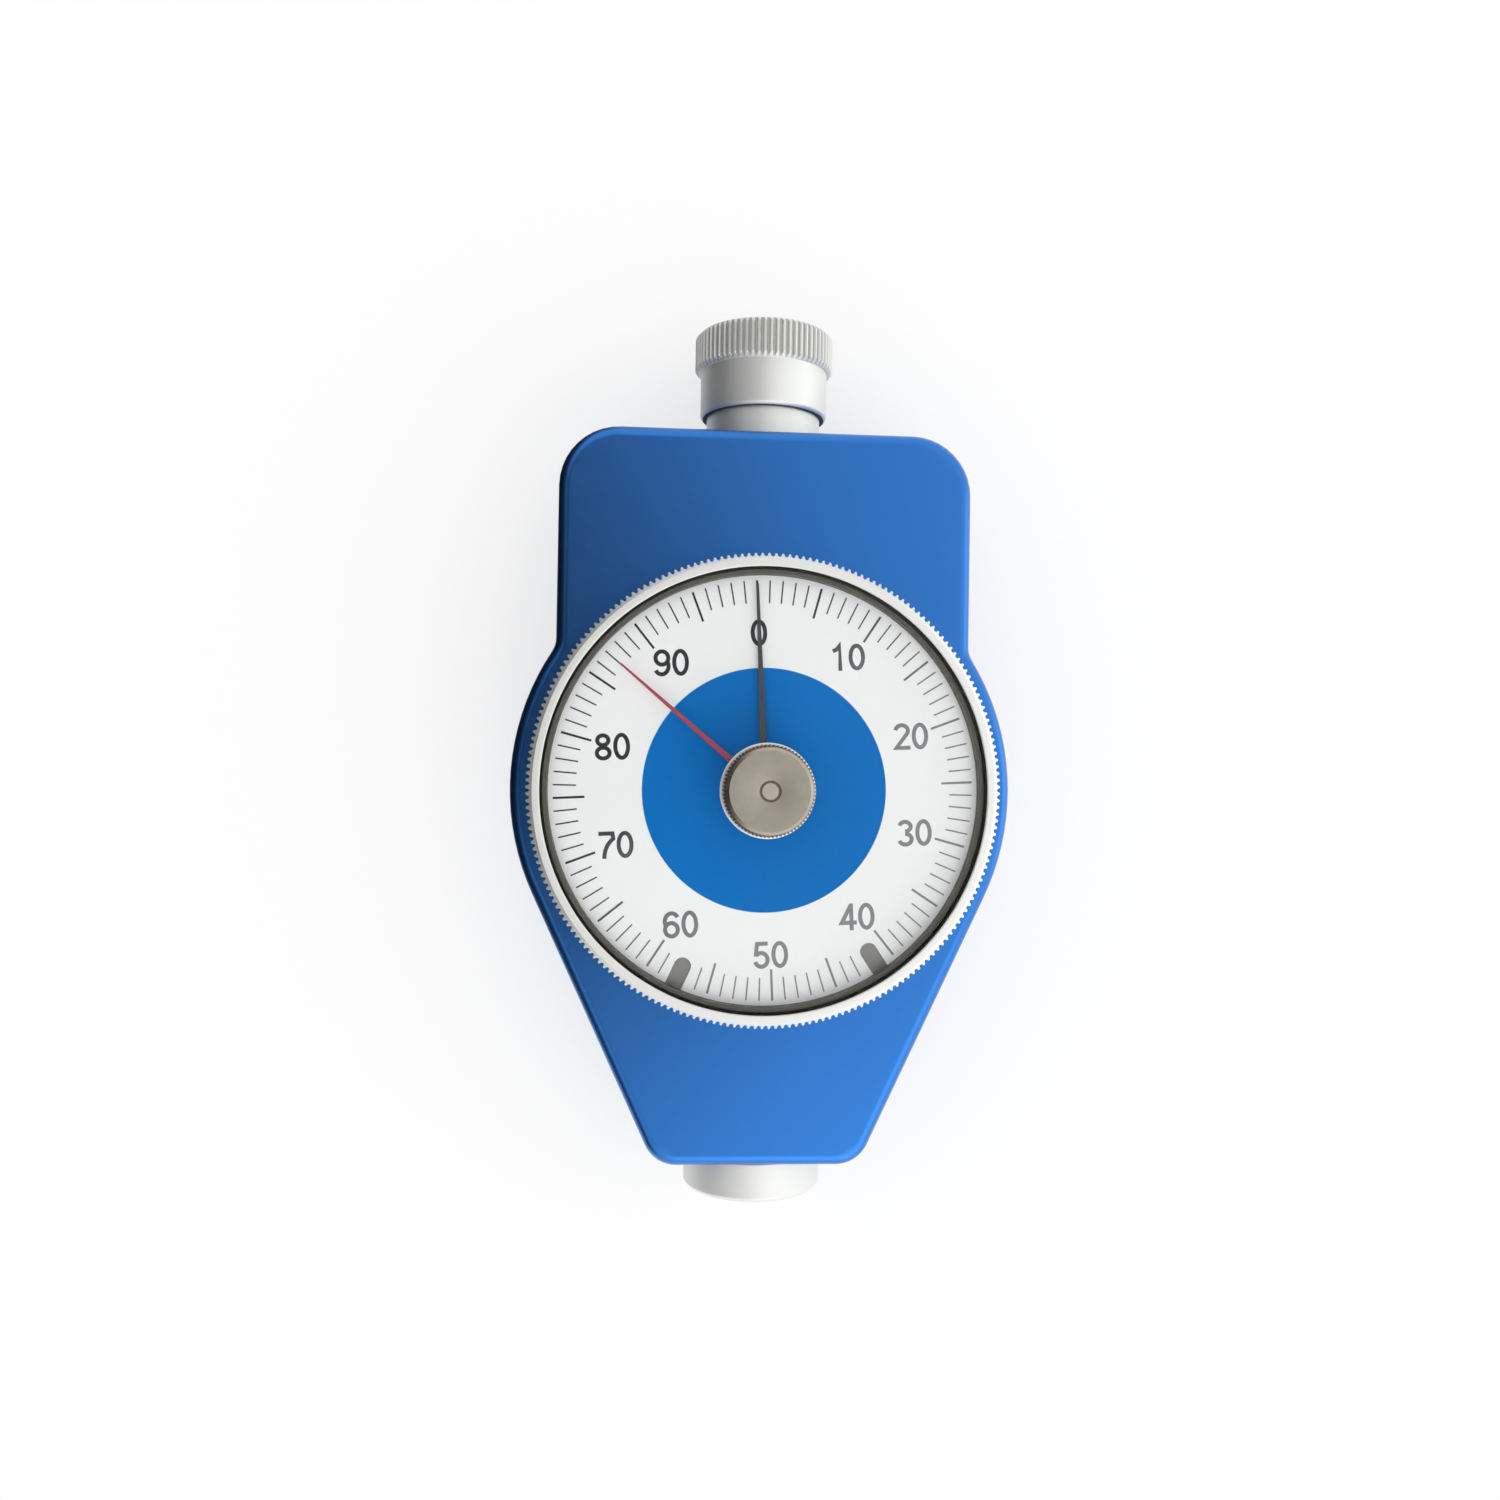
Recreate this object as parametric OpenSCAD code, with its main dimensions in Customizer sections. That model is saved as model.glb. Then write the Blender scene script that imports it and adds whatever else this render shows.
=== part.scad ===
// Dial durometer that lies on its back: X to the right, Y towards the top cap, Z out of the dial.
// The origin is on the back face, under the dial's axis. All sizes are in millimetres.

/* [Body] */
// Thickness from the back face to the front face
body_t = 20; // [19:0.5:26]
// Radius of the round bulge behind the dial
bulge_r = 31; // [30:0.5:36]
// Width of the upper part of the body
upper_w = 51.4; // [44:0.2:56]
// Height of the body's top edge above the dial's axis
top_y = 44.6; // [42:0.2:52]
// Depth of the body's bottom edge below the dial's axis
bottom_y = 46.3; // [44:0.1:52]
// Slope of the lower sides against the long axis, in degrees
taper_deg = 25; // [20:1:28]
// Radius of the two top corners in the outline
top_corner_r = 7.5; // [4:0.5:9]
// Radius of the two bottom corners in the outline
bottom_corner_r = 4.3; // [3:0.1:6]
// Radius where the straight sides run into the bulge
waist_r = 3; // [2:0.5:5]
// Rounding along the front edge of the body
edge_r = 1.5; // [0.8:0.1:2]
// Rounding along the back edge of the cover
cover_edge_r = 1; // [0.5:0.1:1.5]
// Rounding along the parting line between the body and the cover
seam_r = 0.3; // [0.1:0.05:0.6]
// Thickness of the rear cover
cover_t = 2.5; // [2:0.1:3]
// Thickness of the side walls
side_wall = 2.8; // [2:0.1:3.5]
// Thickness of the front wall
front_wall = 3; // [2.5:0.1:4]

/* [Bezel and dial] */
// Outer diameter of the bezel over its knurl
bezel_d = 57; // [55:0.5:59]
// Number of teeth in the bezel's knurl
bezel_teeth = 216; // [120:4:240]
// Depth of the bezel's knurl
bezel_knurl = 0.5; // [0.15:0.05:0.6]
// Height of the bezel's front above the front face
bezel_h = 5; // [4.6:0.1:6]
// Chamfer on the bezel's front edge
bezel_chamfer = 0.85; // [0.4:0.05:1]
// Width of the bezel's front ring, from its outer edge to the crystal
lip_w = 1.7; // [1.6:0.1:2.6]
// Height of the spigot on which the bezel turns
spigot_h = 1.7; // [1.5:0.1:2]
// Thickness of the dial plate
dial_t = 0.3; // [0.2:0.05:0.5]
// Diameter of the coloured disc in the dial's middle
disc_d = 29.6; // [20:0.2:34]
// Gap between the bezel's front ring and the outer end of the scale's lines
scale_gap = 1.4; // [0.8:0.1:2.4]
// Length of the short scale lines
tick_short = 2.75; // [1.5:0.05:3.5]
// Length of every fifth scale line
tick_long = 3.75; // [2:0.05:5]
// Angle by which the bezel is turned from the body's axis, in degrees
dial_turn = 3; // [-10:0.5:10]
// Rise of the domed crystal over its rim
crystal_rise = 1.7; // [1.6:0.1:2.2]
// Thickness of the crystal's dome
crystal_t = 1; // [0.8:0.1:1.2]

/* [Pointers and reset knob] */
// How far the main pointer's tip stays inside the outer end of the scale's lines
pointer_inset = 0.4; // [0:0.1:5]
// How far the peak pointer's tip stays inside the outer end of the scale's lines
peak_inset = 2.4; // [0:0.1:5]
// Scale reading at which the peak pointer was left
peak_reading = 87; // [10:0.1:90]
// Diameter of the reset knob over its knurl
knob_d = 10.8; // [8:0.2:12]
// Diameter of the thin flange under the knob
knob_flange_d = 11.3; // [10.8:0.1:13]
// Height of the reset knob
knob_h = 3.9; // [3:0.1:5]
// Number of teeth in the reset knob's knurl
knob_teeth = 72; // [40:2:90]

/* [Foot and spindle] */
// Diameter of the presser foot
foot_d = 17.6; // [16:0.1:18]
// Length of the foot below the body
foot_h = 4.8; // [4:0.1:7]
// Diameter of the hole in the foot's face
foot_hole_d = 3; // [2.5:0.1:3.5]
// Diameter of the indenter
indenter_d = 1.25; // [1:0.05:1.5]
// Diameter of the flat on the indenter's tip
tip_d = 0.79; // [0.5:0.01:0.9]
// Travel of the indenter, which is also how far it stands out of the foot
travel = 2.5; // [2:0.1:2.6]
// Diameter of the spindle
spindle_d = 4.5; // [4:0.1:4.8]

/* [Neck and top cap] */
// Diameter of the neck between the body and the cap
neck_d = 14.8; // [14:0.1:15.2]
// Height of the gap between the body and the cap
neck_gap = 3.6; // [2:0.1:5]
// Diameter of the cap's plain collar
collar_d = 16.5; // [16.2:0.1:17]
// Height of the cap's plain collar
collar_h = 6; // [5:0.1:8]
// Diameter of the cap's knurled rim
rim_d = 18; // [17.4:0.1:18]
// Height of the cap's knurled rim
rim_h = 4.8; // [4:0.1:6]
// Number of grooves in the cap's rim
rim_grooves = 70; // [40:2:90]

/* [Movement] */
// Teeth of the pinion that runs on the rack
rack_pinion_teeth = 16; // [14:1:20]
// Teeth of the wheel on the idler arbor
wheel_teeth = 70; // [60:1:80]
// Teeth of the pinion on the pointer's arbor
centre_teeth = 14; // [12:1:16]
// Module of the wheel and the centre pinion
wheel_module = 0.2; // [0.18:0.01:0.22]
// Thickness of the middle plate and the rear bridge
plate_t = 0.9; // [0.7:0.1:1.1]
// Thickness of the front plate
front_plate_t = 1.2; // [1:0.1:1.4]

/* [Hidden] */

$fn = 64;
fine_fn = 360;

// Colours of the materials
paint_blue = [0.13, 0.36, 0.74];
satin_silver = [0.80, 0.80, 0.78];
nickel = [0.66, 0.64, 0.60];
tool_steel = [0.55, 0.56, 0.58];
brass = [0.78, 0.62, 0.30];
dial_white = [0.93, 0.93, 0.92];
ink_black = [0.10, 0.10, 0.10];
ink_red = [0.75, 0.10, 0.16];
clear = [0.90, 0.95, 1.00, 0.25];
rubber = [0.12, 0.12, 0.12];

// Clearances
cut = 1;
press_gap = 0.01;
run_gap = 0.04;
seat_gap = 0.1;
slide_gap = 0.08;
thread_gap = 0.08;

// Body
upper_half = upper_w / 2;
front_z = body_t;
inner_z = body_t - front_wall;
axis_z = body_t / 2;
end_block = 10;
cavity_top = top_y - end_block;
cavity_bottom = -(bottom_y - end_block);
screw_inset = 5.2;
screw_side_inset = 6.2;
screw_r = 1.25;
screw_head_r = 2.4;
screw_head_h = 1.5;
screw_len = 9;
cross_w = 0.6;
cross_len = 3;
cross_depth = 0.7;
corner_steps = 8;
bulge_steps = 18;
waist_steps = 5;
shoulder_steps = 10;
edge_steps = 6;

// Bezel, dial and crystal
bezel_r = bezel_d / 2;
bezel_front_z = front_z + bezel_h;
bezel_wall = 1.3;
bezel_bore_r = bezel_r - bezel_wall;
bezel_lift = 0.35;
bezel_bottom_z = front_z + bezel_lift;
lip_r = bezel_r - lip_w;
spigot_r = bezel_bore_r - slide_gap;
spigot_z = front_z + spigot_h;
front_plate_gap = 2.2;
front_plate_r = bulge_r - side_wall - front_plate_gap;
front_plate_lap = 3.5;
opening_r = front_plate_r - front_plate_lap;
wire_r = 0.25;
wire_groove_h = 0.6;
wire_groove_depth = 0.32;
wire_inset = 0.65;
wire_z = spigot_z - wire_inset;
wire_start = 100;
wire_sweep = 340;
lip_t = 0.4;
flange_t = 0.8;
flange_z = bezel_front_z - lip_t - flange_t;
carrier_t = 0.3;
carrier_z = spigot_z + seat_gap;
carrier_w = 6.5;
dial_z = carrier_z + carrier_t;
dial_face_z = dial_z + dial_t;
dial_r = bezel_bore_r - seat_gap;
dial_hole_r = 1.6;
ring_step = 0.8;
ring_inner_r = lip_r - ring_step;
notch_w = 2.1;
notch_len = 4.5;
notch_end_r = lip_r - notch_len;
notch_angles = [149.2, 207.2];
lug_len = 0.6;
print_h = 0.03;
tick_short_w = 0.17;
tick_long_w = 0.27;
tick_count = 100;
tick_r = lip_r - scale_gap;
dome_inset = 0.2;
dome_r = lip_r - dome_inset;
dome_rim_z = bezel_front_z - dome_inset;
dome_top_z = dome_rim_z + crystal_rise;
dome_sphere_r = (dome_r * dome_r + crystal_rise * crystal_rise) / (2 * crystal_rise);
dome_centre_z = dome_top_z - dome_sphere_r;
dome_under_z = dome_top_z - crystal_t;

// Pointers and reset knob
arbor_r = 0.6;
pointer_t = 0.2;
pointer_gap = 0.55;
pointer_z = dial_face_z + pointer_gap;
pointer_len = tick_r - pointer_inset;
pointer_tail = 4.6;
pointer_eye_r = 1.9;
pointer_root_half = 0.5;
pointer_tip_half = 0.16;
tail_flare = 1.6;
hub_r = 1.3;
hub_neck_r = 0.95;
hub_h = 0.4;
arbor_end = 0.3;
arbor_top_z = pointer_z + pointer_t + arbor_end;
peak_gap = 0.25;
peak_z = arbor_top_z + peak_gap;
peak_angle = dial_turn - peak_reading * 360 / tick_count;
peak_len = tick_r - peak_inset;
peak_tail = 3.4;
peak_root_half = 0.44;
peak_tip_half = 0.12;
shaft_r = 0.95;
peak_hub_r = 1.8;
washer_r = 2.3;
washer_t = 0.25;
bush_r = 1.6;
bush_flange_r = 2.5;
bush_flange_t = 0.35;
catch_r = 4.2;
catch_w = 0.4;
catch_gap = 0.1;
catch_h = peak_z - catch_gap - pointer_z;
knob_z = dome_top_z + bush_flange_t + seat_gap;
knob_flange_h = 0.5;
knob_chamfer = 0.7;
knob_knurl = 0.3;
knob_dish_r = 1.25;
knob_dish_h = 0.25;

// Foot, spindle and spring
foot_face_y = -bottom_y - foot_h;
foot_r = foot_d / 2;
shank_r = 5;
foot_edge = 0.5;
spindle_r = spindle_d / 2;
guide_r = spindle_r + run_gap;
step_depth = 2;
step_y = -bottom_y - step_depth;
spindle_end_y = step_y + seat_gap;
indenter_r = indenter_d / 2;
indenter_hold = 5;
tip_y = foot_face_y - travel;
tip_half_angle = 17.5;
tip_len = (indenter_r - tip_d / 2) / tan(tip_half_angle);
barrel_shank_r = 6;
barrel_reach = 2;
barrel_low_y = cavity_top - barrel_reach;
chamber_r = 4.5;
chamber_floor = 0.6;
chamber_y = cavity_top + chamber_floor;
seat_y = chamber_y + seat_gap / 2;
seat_h = 1.5;
spindle_stub = 4;
spindle_top_y = seat_y + seat_h + spindle_stub;
coil_r = 3.25;
coil_wire_r = 0.4;
coil_turns = 8;
coil_steps = 14;
coil_sides = 8;
coil_gap = 0.05;
spring_room = 12;
adjuster_y = seat_y + seat_h + spring_room;
adjuster_h = 4.2;
slot_w = 1;
pin_r = 0.8;
pin_margin = 4;
pin_y = pin_margin - front_plate_r;
pin_reach = 6.2;
pin_hold = 1.2;

// Neck and top cap
neck_r = neck_d / 2;
cap_y = top_y + neck_gap;
cap_counterbore = 0.9;
neck_lap = 0.6;
neck_top_y = cap_y + neck_lap;
thread_r = 6.6;
rim_y = cap_y + collar_h;
cap_top_y = rim_y + rim_h;
cap_roof = 3.6;
cap_roof_y = cap_top_y - cap_roof;
seal_t = 0.6;
seal_r = thread_r - seat_gap;
barrel_top_y = cap_roof_y - seal_t - seat_gap;
rim_knurl = 0.35;
land_end = 0.42;
groove_start = 0.58;
groove_end = 0.84;
rim_chamfer = 0.5;
collar_chamfer = 0.5;

// Movement
rack_pitch = travel * wheel_teeth / (centre_teeth * rack_pinion_teeth);
rack_module = rack_pitch / PI;
rack_pinion_r = rack_module * rack_pinion_teeth / 2;
rack_depth = 0.5;
rack_x = spindle_r - rack_depth;
wheel_r = wheel_module * wheel_teeth / 2;
centre_r = wheel_module * centre_teeth / 2;
centre_distance = wheel_r + centre_r;
idler_x = -(rack_x + rack_pinion_r);
idler_y = sqrt(centre_distance * centre_distance - idler_x * idler_x);
mesh_angle = atan2(-idler_y, -idler_x);
pressure_angle = 20;
addendum = 0.8;
dedendum = 1.25;
flank_low = 0.35;
flank_high = 0.2;
backlash = 0.12;
rack_below = 5;
rack_above = 3;
middle_gap = 0.6;
middle_z = axis_z + spindle_r + middle_gap;
middle_front_z = middle_z + plate_t;
front_plate_z = inner_z - front_plate_t;
gear_mid_z = (middle_front_z + front_plate_z) / 2;
wheel_t = 0.7;
window_count = 5;
window_ring = 0.55;
window_size = 0.2;
centre_pinion_t = 1.3;
plate_screw_r = 0.8;
plate_screw_ring = (opening_r + front_plate_r) / 2;
plate_screw_depth = 2;
plate_screw_head_r = 1.5;
plate_screw_head_h = 1.1;
middle_r = 16;
pillar_inset = 2;
pillar_ring = middle_r - pillar_inset;
pillar_r = 1.3;
peg_r = 0.8;
bridge_gap = 0.85;
bridge_z = axis_z - spindle_r - bridge_gap - plate_t;
bridge_half = 3.4;
bridge_x = -sqrt(pow(pillar_ring, 2) - pow(idler_y + bridge_half, 2));
bridge_w = 4;
bridge_pillar_r = 1.2;
idler_r = 0.8;
pivot_r = 0.4;
pivot_inset = 0.2;
rack_pinion_half = 2;
block_gap = 0.6;
block_w = 4;
block_half = 3.6;
block_low_z = axis_z - 3;
collet_r = 1.3;
collet_h = 1.2;
hairspring_lift = 1.6;
hairspring_z = inner_z + hairspring_lift;
hairspring_h = 0.6;
hairspring_w = 0.15;
hairspring_r0 = 1.6;
hairspring_r1 = 7.5;
hairspring_turns = 6;
hairspring_steps = 24;
hairspring_end = 360 * hairspring_turns;
stud_r = 0.5;

// Points on an arc, both ends included
function arc(c, r, a0, a1, n) =
    [for (i = [0:n]) let (a = a0 + (a1 - a0) * i / n) [c[0] + r * cos(a), c[1] + r * sin(a)]];

// The list backwards and mirrored across the Y axis
function mirrored(pts) = [for (i = [len(pts) - 1:-1:0]) [-pts[i][0], pts[i][1]]];

// Centre of the lower corner's arc, on the taper line that touches the bulge
corner_x = (bulge_r - bottom_corner_r - (bottom_y - bottom_corner_r) * sin(taper_deg)) / cos(taper_deg);
corner_y = bottom_corner_r - bottom_y;

// Centre of the arc where the straight side meets the bulge
waist_x = upper_half + waist_r;
waist_y = sqrt(pow(bulge_r + waist_r, 2) - pow(waist_x, 2));
waist_angle = atan2(waist_y, waist_x);

// Right half of the body's outline, set in by a distance
function half_outline(inset) = concat(
    arc([corner_x, corner_y], bottom_corner_r - inset, -90, -taper_deg, corner_steps),
    arc([0, 0], bulge_r - inset, -taper_deg, waist_angle, bulge_steps),
    arc([waist_x, waist_y], waist_r + inset, 180 + waist_angle, 180, waist_steps),
    arc([upper_half - top_corner_r, top_y - top_corner_r], top_corner_r - inset, 0, 90, shoulder_steps));

function body_outline(inset) = concat(half_outline(inset), mirrored(half_outline(inset)));

// Insets and heights of a plate's rings, with a rounded lower and upper edge
function rounded_rings(z0, z1, r0, r1, n) = concat(
    [for (i = [0:n]) [r0 * (1 - sin(90 * i / n)), z0 + r0 * (1 - cos(90 * i / n))]],
    [for (i = [0:n]) [r1 * (1 - cos(90 * i / n)), z1 - r1 * (1 - sin(90 * i / n))]]);

// Plate of the body's outline with a rounded lower and upper edge
module body_plate(z0, z1, r0, r1) {
    rings = rounded_rings(z0, z1, r0, r1, edge_steps);
    count = len(body_outline(0));
    last = len(rings) - 1;
    points = [for (ring = rings) for (p = body_outline(ring[0])) [p[0], p[1], ring[1]]];
    sides = [for (k = [0:last - 1]) for (i = [0:count - 1]) let (j = (i + 1) % count)
        [(k + 1) * count + i, (k + 1) * count + j, k * count + j, k * count + i]];
    bottom = [for (i = [0:count - 1]) i];
    top = [for (i = [count - 1:-1:0]) last * count + i];
    polyhedron(points, concat(sides, [bottom, top]));
}

// Stands a shape that was drawn along Z on the spindle's axis, from a height in Y
module along_spindle(y) {
    translate([0, y, axis_z]) rotate([-90, 0, 0]) children();
}

// Cylinder on the spindle's axis between two heights in Y
module spindle_rod(r, y0, y1) {
    along_spindle(y0) cylinder(r = r, h = y1 - y0);
}

// Cylinder on the dial's axis between two heights in Z
module dial_rod(r, z0, z1) {
    translate([0, 0, z0]) cylinder(r = r, h = z1 - z0);
}

// Hole along Z through a plate between two heights
module dial_hole(r, z0, z1) {
    dial_rod(r, z0 - cut, z1 + cut);
}

// Flat ring on the dial's axis
module dial_ring(r_in, r_out, z0, z1) {
    translate([0, 0, z0]) linear_extrude(z1 - z0) difference() {
        circle(r_out);
        circle(r_in);
    }
}

// Outline of a straight knurl with pointed teeth
function knurl_points(r, depth, teeth) =
    [for (i = [0:2 * teeth - 1]) let (a = 180 * i / teeth, q = i % 2 == 0 ? r : r - depth)
        [q * cos(a), q * sin(a)]];

// Outline of a straight knurl with flat lands and square grooves
function groove_points(r, depth, grooves) =
    [for (i = [0:grooves - 1])
        for (s = [[0, r], [land_end, r], [groove_start, r - depth], [groove_end, r - depth]])
        let (a = 360 * (i + s[0]) / grooves) [s[1] * cos(a), s[1] * sin(a)]];

// Involute angle of a radius over the base circle, in degrees
function involute(r, base) = r <= base ? 0 : let (t = acos(base / r)) tan(t) * 180 / PI - t;

// Half the angle that a tooth takes up at a radius
function tooth_half(r, teeth, pitch_r) = let (base = pitch_r * cos(pressure_angle))
    90 * (1 - backlash) / teeth + involute(pitch_r, base) - involute(r, base);

// Outline of a spur gear with one tooth on the X axis
function gear_points(teeth, module_size) =
    let (pitch_r = module_size * teeth / 2,
        radii = [pitch_r - dedendum * module_size, pitch_r - flank_low * module_size,
            pitch_r + flank_high * module_size, pitch_r + addendum * module_size])
    [for (i = [0:teeth - 1]) for (s = [-1, 1]) for (k = [0:3])
        let (r = radii[s < 0 ? k : 3 - k], a = 360 * i / teeth + s * tooth_half(r, teeth, pitch_r))
        [r * cos(a), r * sin(a)]];

// Outline of what is milled away to leave the rack, with one gap at the idler's height
function rack_cut() =
    let (out = spindle_r + cut, lean = tan(pressure_angle), gap_half = rack_pitch * (1 + backlash) / 4,
        tip = addendum * rack_module, root = dedendum * rack_module,
        low = -ceil(rack_below / rack_pitch), high = ceil(rack_above / rack_pitch))
    concat(
        [[-out, idler_y + high * rack_pitch + rack_pitch / 2],
            [-out, idler_y + low * rack_pitch - rack_pitch / 2],
            [-rack_x - tip, idler_y + low * rack_pitch - rack_pitch / 2]],
        [for (i = [low:high]) let (y = idler_y + i * rack_pitch)
            for (p = [[-rack_x - tip, -gap_half - tip * lean], [-rack_x + root, -gap_half + root * lean],
                [-rack_x + root, gap_half - root * lean], [-rack_x - tip, gap_half + tip * lean]])
            [p[0], y + p[1]]],
        [[-rack_x - tip, idler_y + high * rack_pitch + rack_pitch / 2]]);

// Places of the four screws in the rear cover
module at_cover_screws() {
    for (s = [-1, 1]) {
        translate([s * (upper_half - screw_side_inset), top_y - screw_inset, 0]) children();
        translate([s * corner_x, -bottom_y + screw_inset, 0]) children();
    }
}

// Places of the four screws that hold the movement in the housing
module at_plate_screws() {
    for (i = [0:3]) rotate([0, 0, 45 + 90 * i]) translate([plate_screw_ring, 0, 0]) children();
}

// Places of the three pillars between the plates
module at_pillars() {
    for (i = [0:2]) rotate([0, 0, 60 + 120 * i]) translate([pillar_ring, 0, 0]) children();
}

// Places of the two pillars under the rear bridge
module at_bridge_pillars() {
    for (s = [-1, 1]) translate([bridge_x, idler_y + s * bridge_half, 0]) children();
}

// Two places on the dial where it is keyed to its carrier
module at_notches() {
    for (a = notch_angles) rotate([0, 0, dial_turn + 90 - a]) children();
}

module housing() {
    color(paint_blue) difference() {
        union() {
            body_plate(cover_t, front_z, seam_r, edge_r);
            dial_rod(spigot_r, inner_z, spigot_z);
        }
        translate([0, 0, cover_t - cut]) linear_extrude(inner_z - cover_t + cut) intersection() {
            polygon(body_outline(side_wall));
            translate([-bulge_r, cavity_bottom]) square([2 * bulge_r, cavity_top - cavity_bottom]);
        }
        dial_rod(opening_r, inner_z - cut, spigot_z + cut);
        translate([0, 0, wire_z - wire_groove_h / 2]) linear_extrude(wire_groove_h) difference() {
            circle(spigot_r + cut);
            circle(spigot_r - wire_groove_depth);
        }
        spindle_rod(barrel_shank_r + press_gap, cavity_top - cut, top_y + cut);
        spindle_rod(shank_r + press_gap, -bottom_y - cut, cavity_bottom + cut);
        at_cover_screws() translate([0, 0, cover_t - cut])
            cylinder(r = screw_r + press_gap, h = screw_len + cut);
        at_plate_screws() translate([0, 0, inner_z - cut])
            cylinder(r = plate_screw_r + press_gap, h = plate_screw_depth + cut + seat_gap);
    }
}

module rear_cover() {
    color(paint_blue) difference() {
        body_plate(0, cover_t, cover_edge_r, seam_r);
        at_cover_screws() {
            translate([0, 0, -cut]) cylinder(r = screw_r + seat_gap, h = cover_t + 2 * cut);
            screw_cone(seat_gap / 2);
        }
    }
}

// Countersunk cone that opens through the back face
module screw_cone(grow) {
    slope = (screw_head_r - screw_r) / screw_head_h;
    translate([0, 0, -cut])
        cylinder(r1 = screw_head_r + grow + slope * cut, r2 = screw_r + grow, h = screw_head_h + cut);
}

module rear_cover_screws() {
    color(tool_steel) at_cover_screws() difference() {
        union() {
            translate([0, 0, seat_gap]) cylinder(r = screw_r, h = screw_len);
            intersection() {
                screw_cone(0);
                translate([0, 0, seat_gap]) cylinder(r = screw_head_r, h = screw_head_h);
            }
        }
        for (a = [0, 90]) rotate([0, 0, a])
            translate([-cross_len / 2, -cross_w / 2, -cut])
                cube([cross_len, cross_w, cut + seat_gap + cross_depth]);
    }
}

module presser_foot() {
    color(satin_silver) difference() {
        union() {
            along_spindle(foot_face_y) rotate_extrude() polygon([
                [0, 0], [foot_r - foot_edge, 0], [foot_r, foot_edge], [foot_r, foot_h], [0, foot_h]]);
            spindle_rod(shank_r, -bottom_y - cut, cavity_bottom);
        }
        spindle_rod(guide_r, step_y, cavity_bottom + cut);
        spindle_rod(foot_hole_d / 2, foot_face_y - cut, step_y + cut);
    }
}

module spring_barrel() {
    color(satin_silver) difference() {
        union() {
            spindle_rod(barrel_shank_r, barrel_low_y, top_y + cut);
            spindle_rod(neck_r, top_y, neck_top_y);
            spindle_rod(thread_r, neck_top_y - cut, barrel_top_y);
        }
        spindle_rod(guide_r, barrel_low_y - cut, chamber_y + cut);
        spindle_rod(chamber_r, chamber_y, barrel_top_y + cut);
    }
}

module spring_adjuster() {
    color(brass) difference() {
        spindle_rod(chamber_r - press_gap, adjuster_y, adjuster_y + adjuster_h);
        translate([-chamber_r - cut, adjuster_y + adjuster_h - slot_w, axis_z - slot_w / 2])
            cube([2 * (chamber_r + cut), slot_w + cut, slot_w]);
    }
}

module main_spring() {
    low = seat_y + seat_h + coil_wire_r + coil_gap;
    rise = adjuster_y - coil_wire_r - coil_gap - low;
    rings = coil_turns * coil_steps;
    points = [for (i = [0:rings]) for (k = [0:coil_sides - 1])
        let (a = 360 * i / coil_steps, b = 360 * k / coil_sides, q = coil_r + coil_wire_r * cos(b))
        [q * cos(a), q * sin(a), rise * i / rings + coil_wire_r * sin(b)]];
    sides = [for (i = [0:rings - 1]) for (k = [0:coil_sides - 1])
        let (j = (k + 1) % coil_sides, p = i * coil_sides, q = (i + 1) * coil_sides)
        for (f = [[p + k, p + j, q + j], [p + k, q + j, q + k]]) f];
    first_end = [for (k = [coil_sides - 1:-1:0]) k];
    last_end = [for (k = [0:coil_sides - 1]) rings * coil_sides + k];
    color(tool_steel) along_spindle(low) polyhedron(points, concat(sides, [first_end, last_end]));
}

module front_plate() {
    color(brass) difference() {
        dial_rod(front_plate_r, front_plate_z, inner_z);
        dial_hole(arbor_r + run_gap, front_plate_z, inner_z);
        translate([idler_x, idler_y, 0]) dial_hole(pivot_r + run_gap, front_plate_z, inner_z);
        at_pillars() dial_hole(peg_r + press_gap, front_plate_z, inner_z);
        at_plate_screws() dial_hole(plate_screw_r + seat_gap, front_plate_z, inner_z);
        stud_place() dial_hole(stud_r + press_gap, front_plate_z, inner_z);
    }
}

module middle_plate() {
    color(brass) difference() {
        dial_rod(middle_r, middle_z, middle_front_z);
        dial_hole(pivot_r + run_gap, middle_z, middle_front_z);
        translate([idler_x, idler_y, 0]) dial_hole(idler_r + 2 * seat_gap, middle_z, middle_front_z);
        at_pillars() dial_hole(peg_r + press_gap, middle_z, middle_front_z);
        at_bridge_pillars() dial_hole(peg_r + press_gap, middle_z, middle_front_z);
    }
}

module rear_bridge() {
    color(brass) translate([0, 0, bridge_z]) linear_extrude(plate_t) difference() {
        union() {
            at_bridge_pillars() circle(bridge_w / 2);
            translate([bridge_x - bridge_w / 2, idler_y - bridge_half]) square([bridge_w, 2 * bridge_half]);
            translate([bridge_x, idler_y - bridge_w / 2]) square([idler_x - bridge_x, bridge_w]);
            translate([idler_x, idler_y]) circle(bridge_w / 2);
        }
        translate([idler_x, idler_y]) circle(pivot_r + run_gap);
        at_bridge_pillars() circle(peg_r + press_gap);
    }
}

module plate_pillars() {
    color(brass) {
        at_pillars() {
            dial_rod(peg_r, middle_z, inner_z);
            dial_rod(pillar_r, middle_front_z, front_plate_z);
        }
        at_bridge_pillars() {
            dial_rod(peg_r, bridge_z, middle_front_z);
            dial_rod(bridge_pillar_r, bridge_z + plate_t, middle_z);
        }
    }
}

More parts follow.
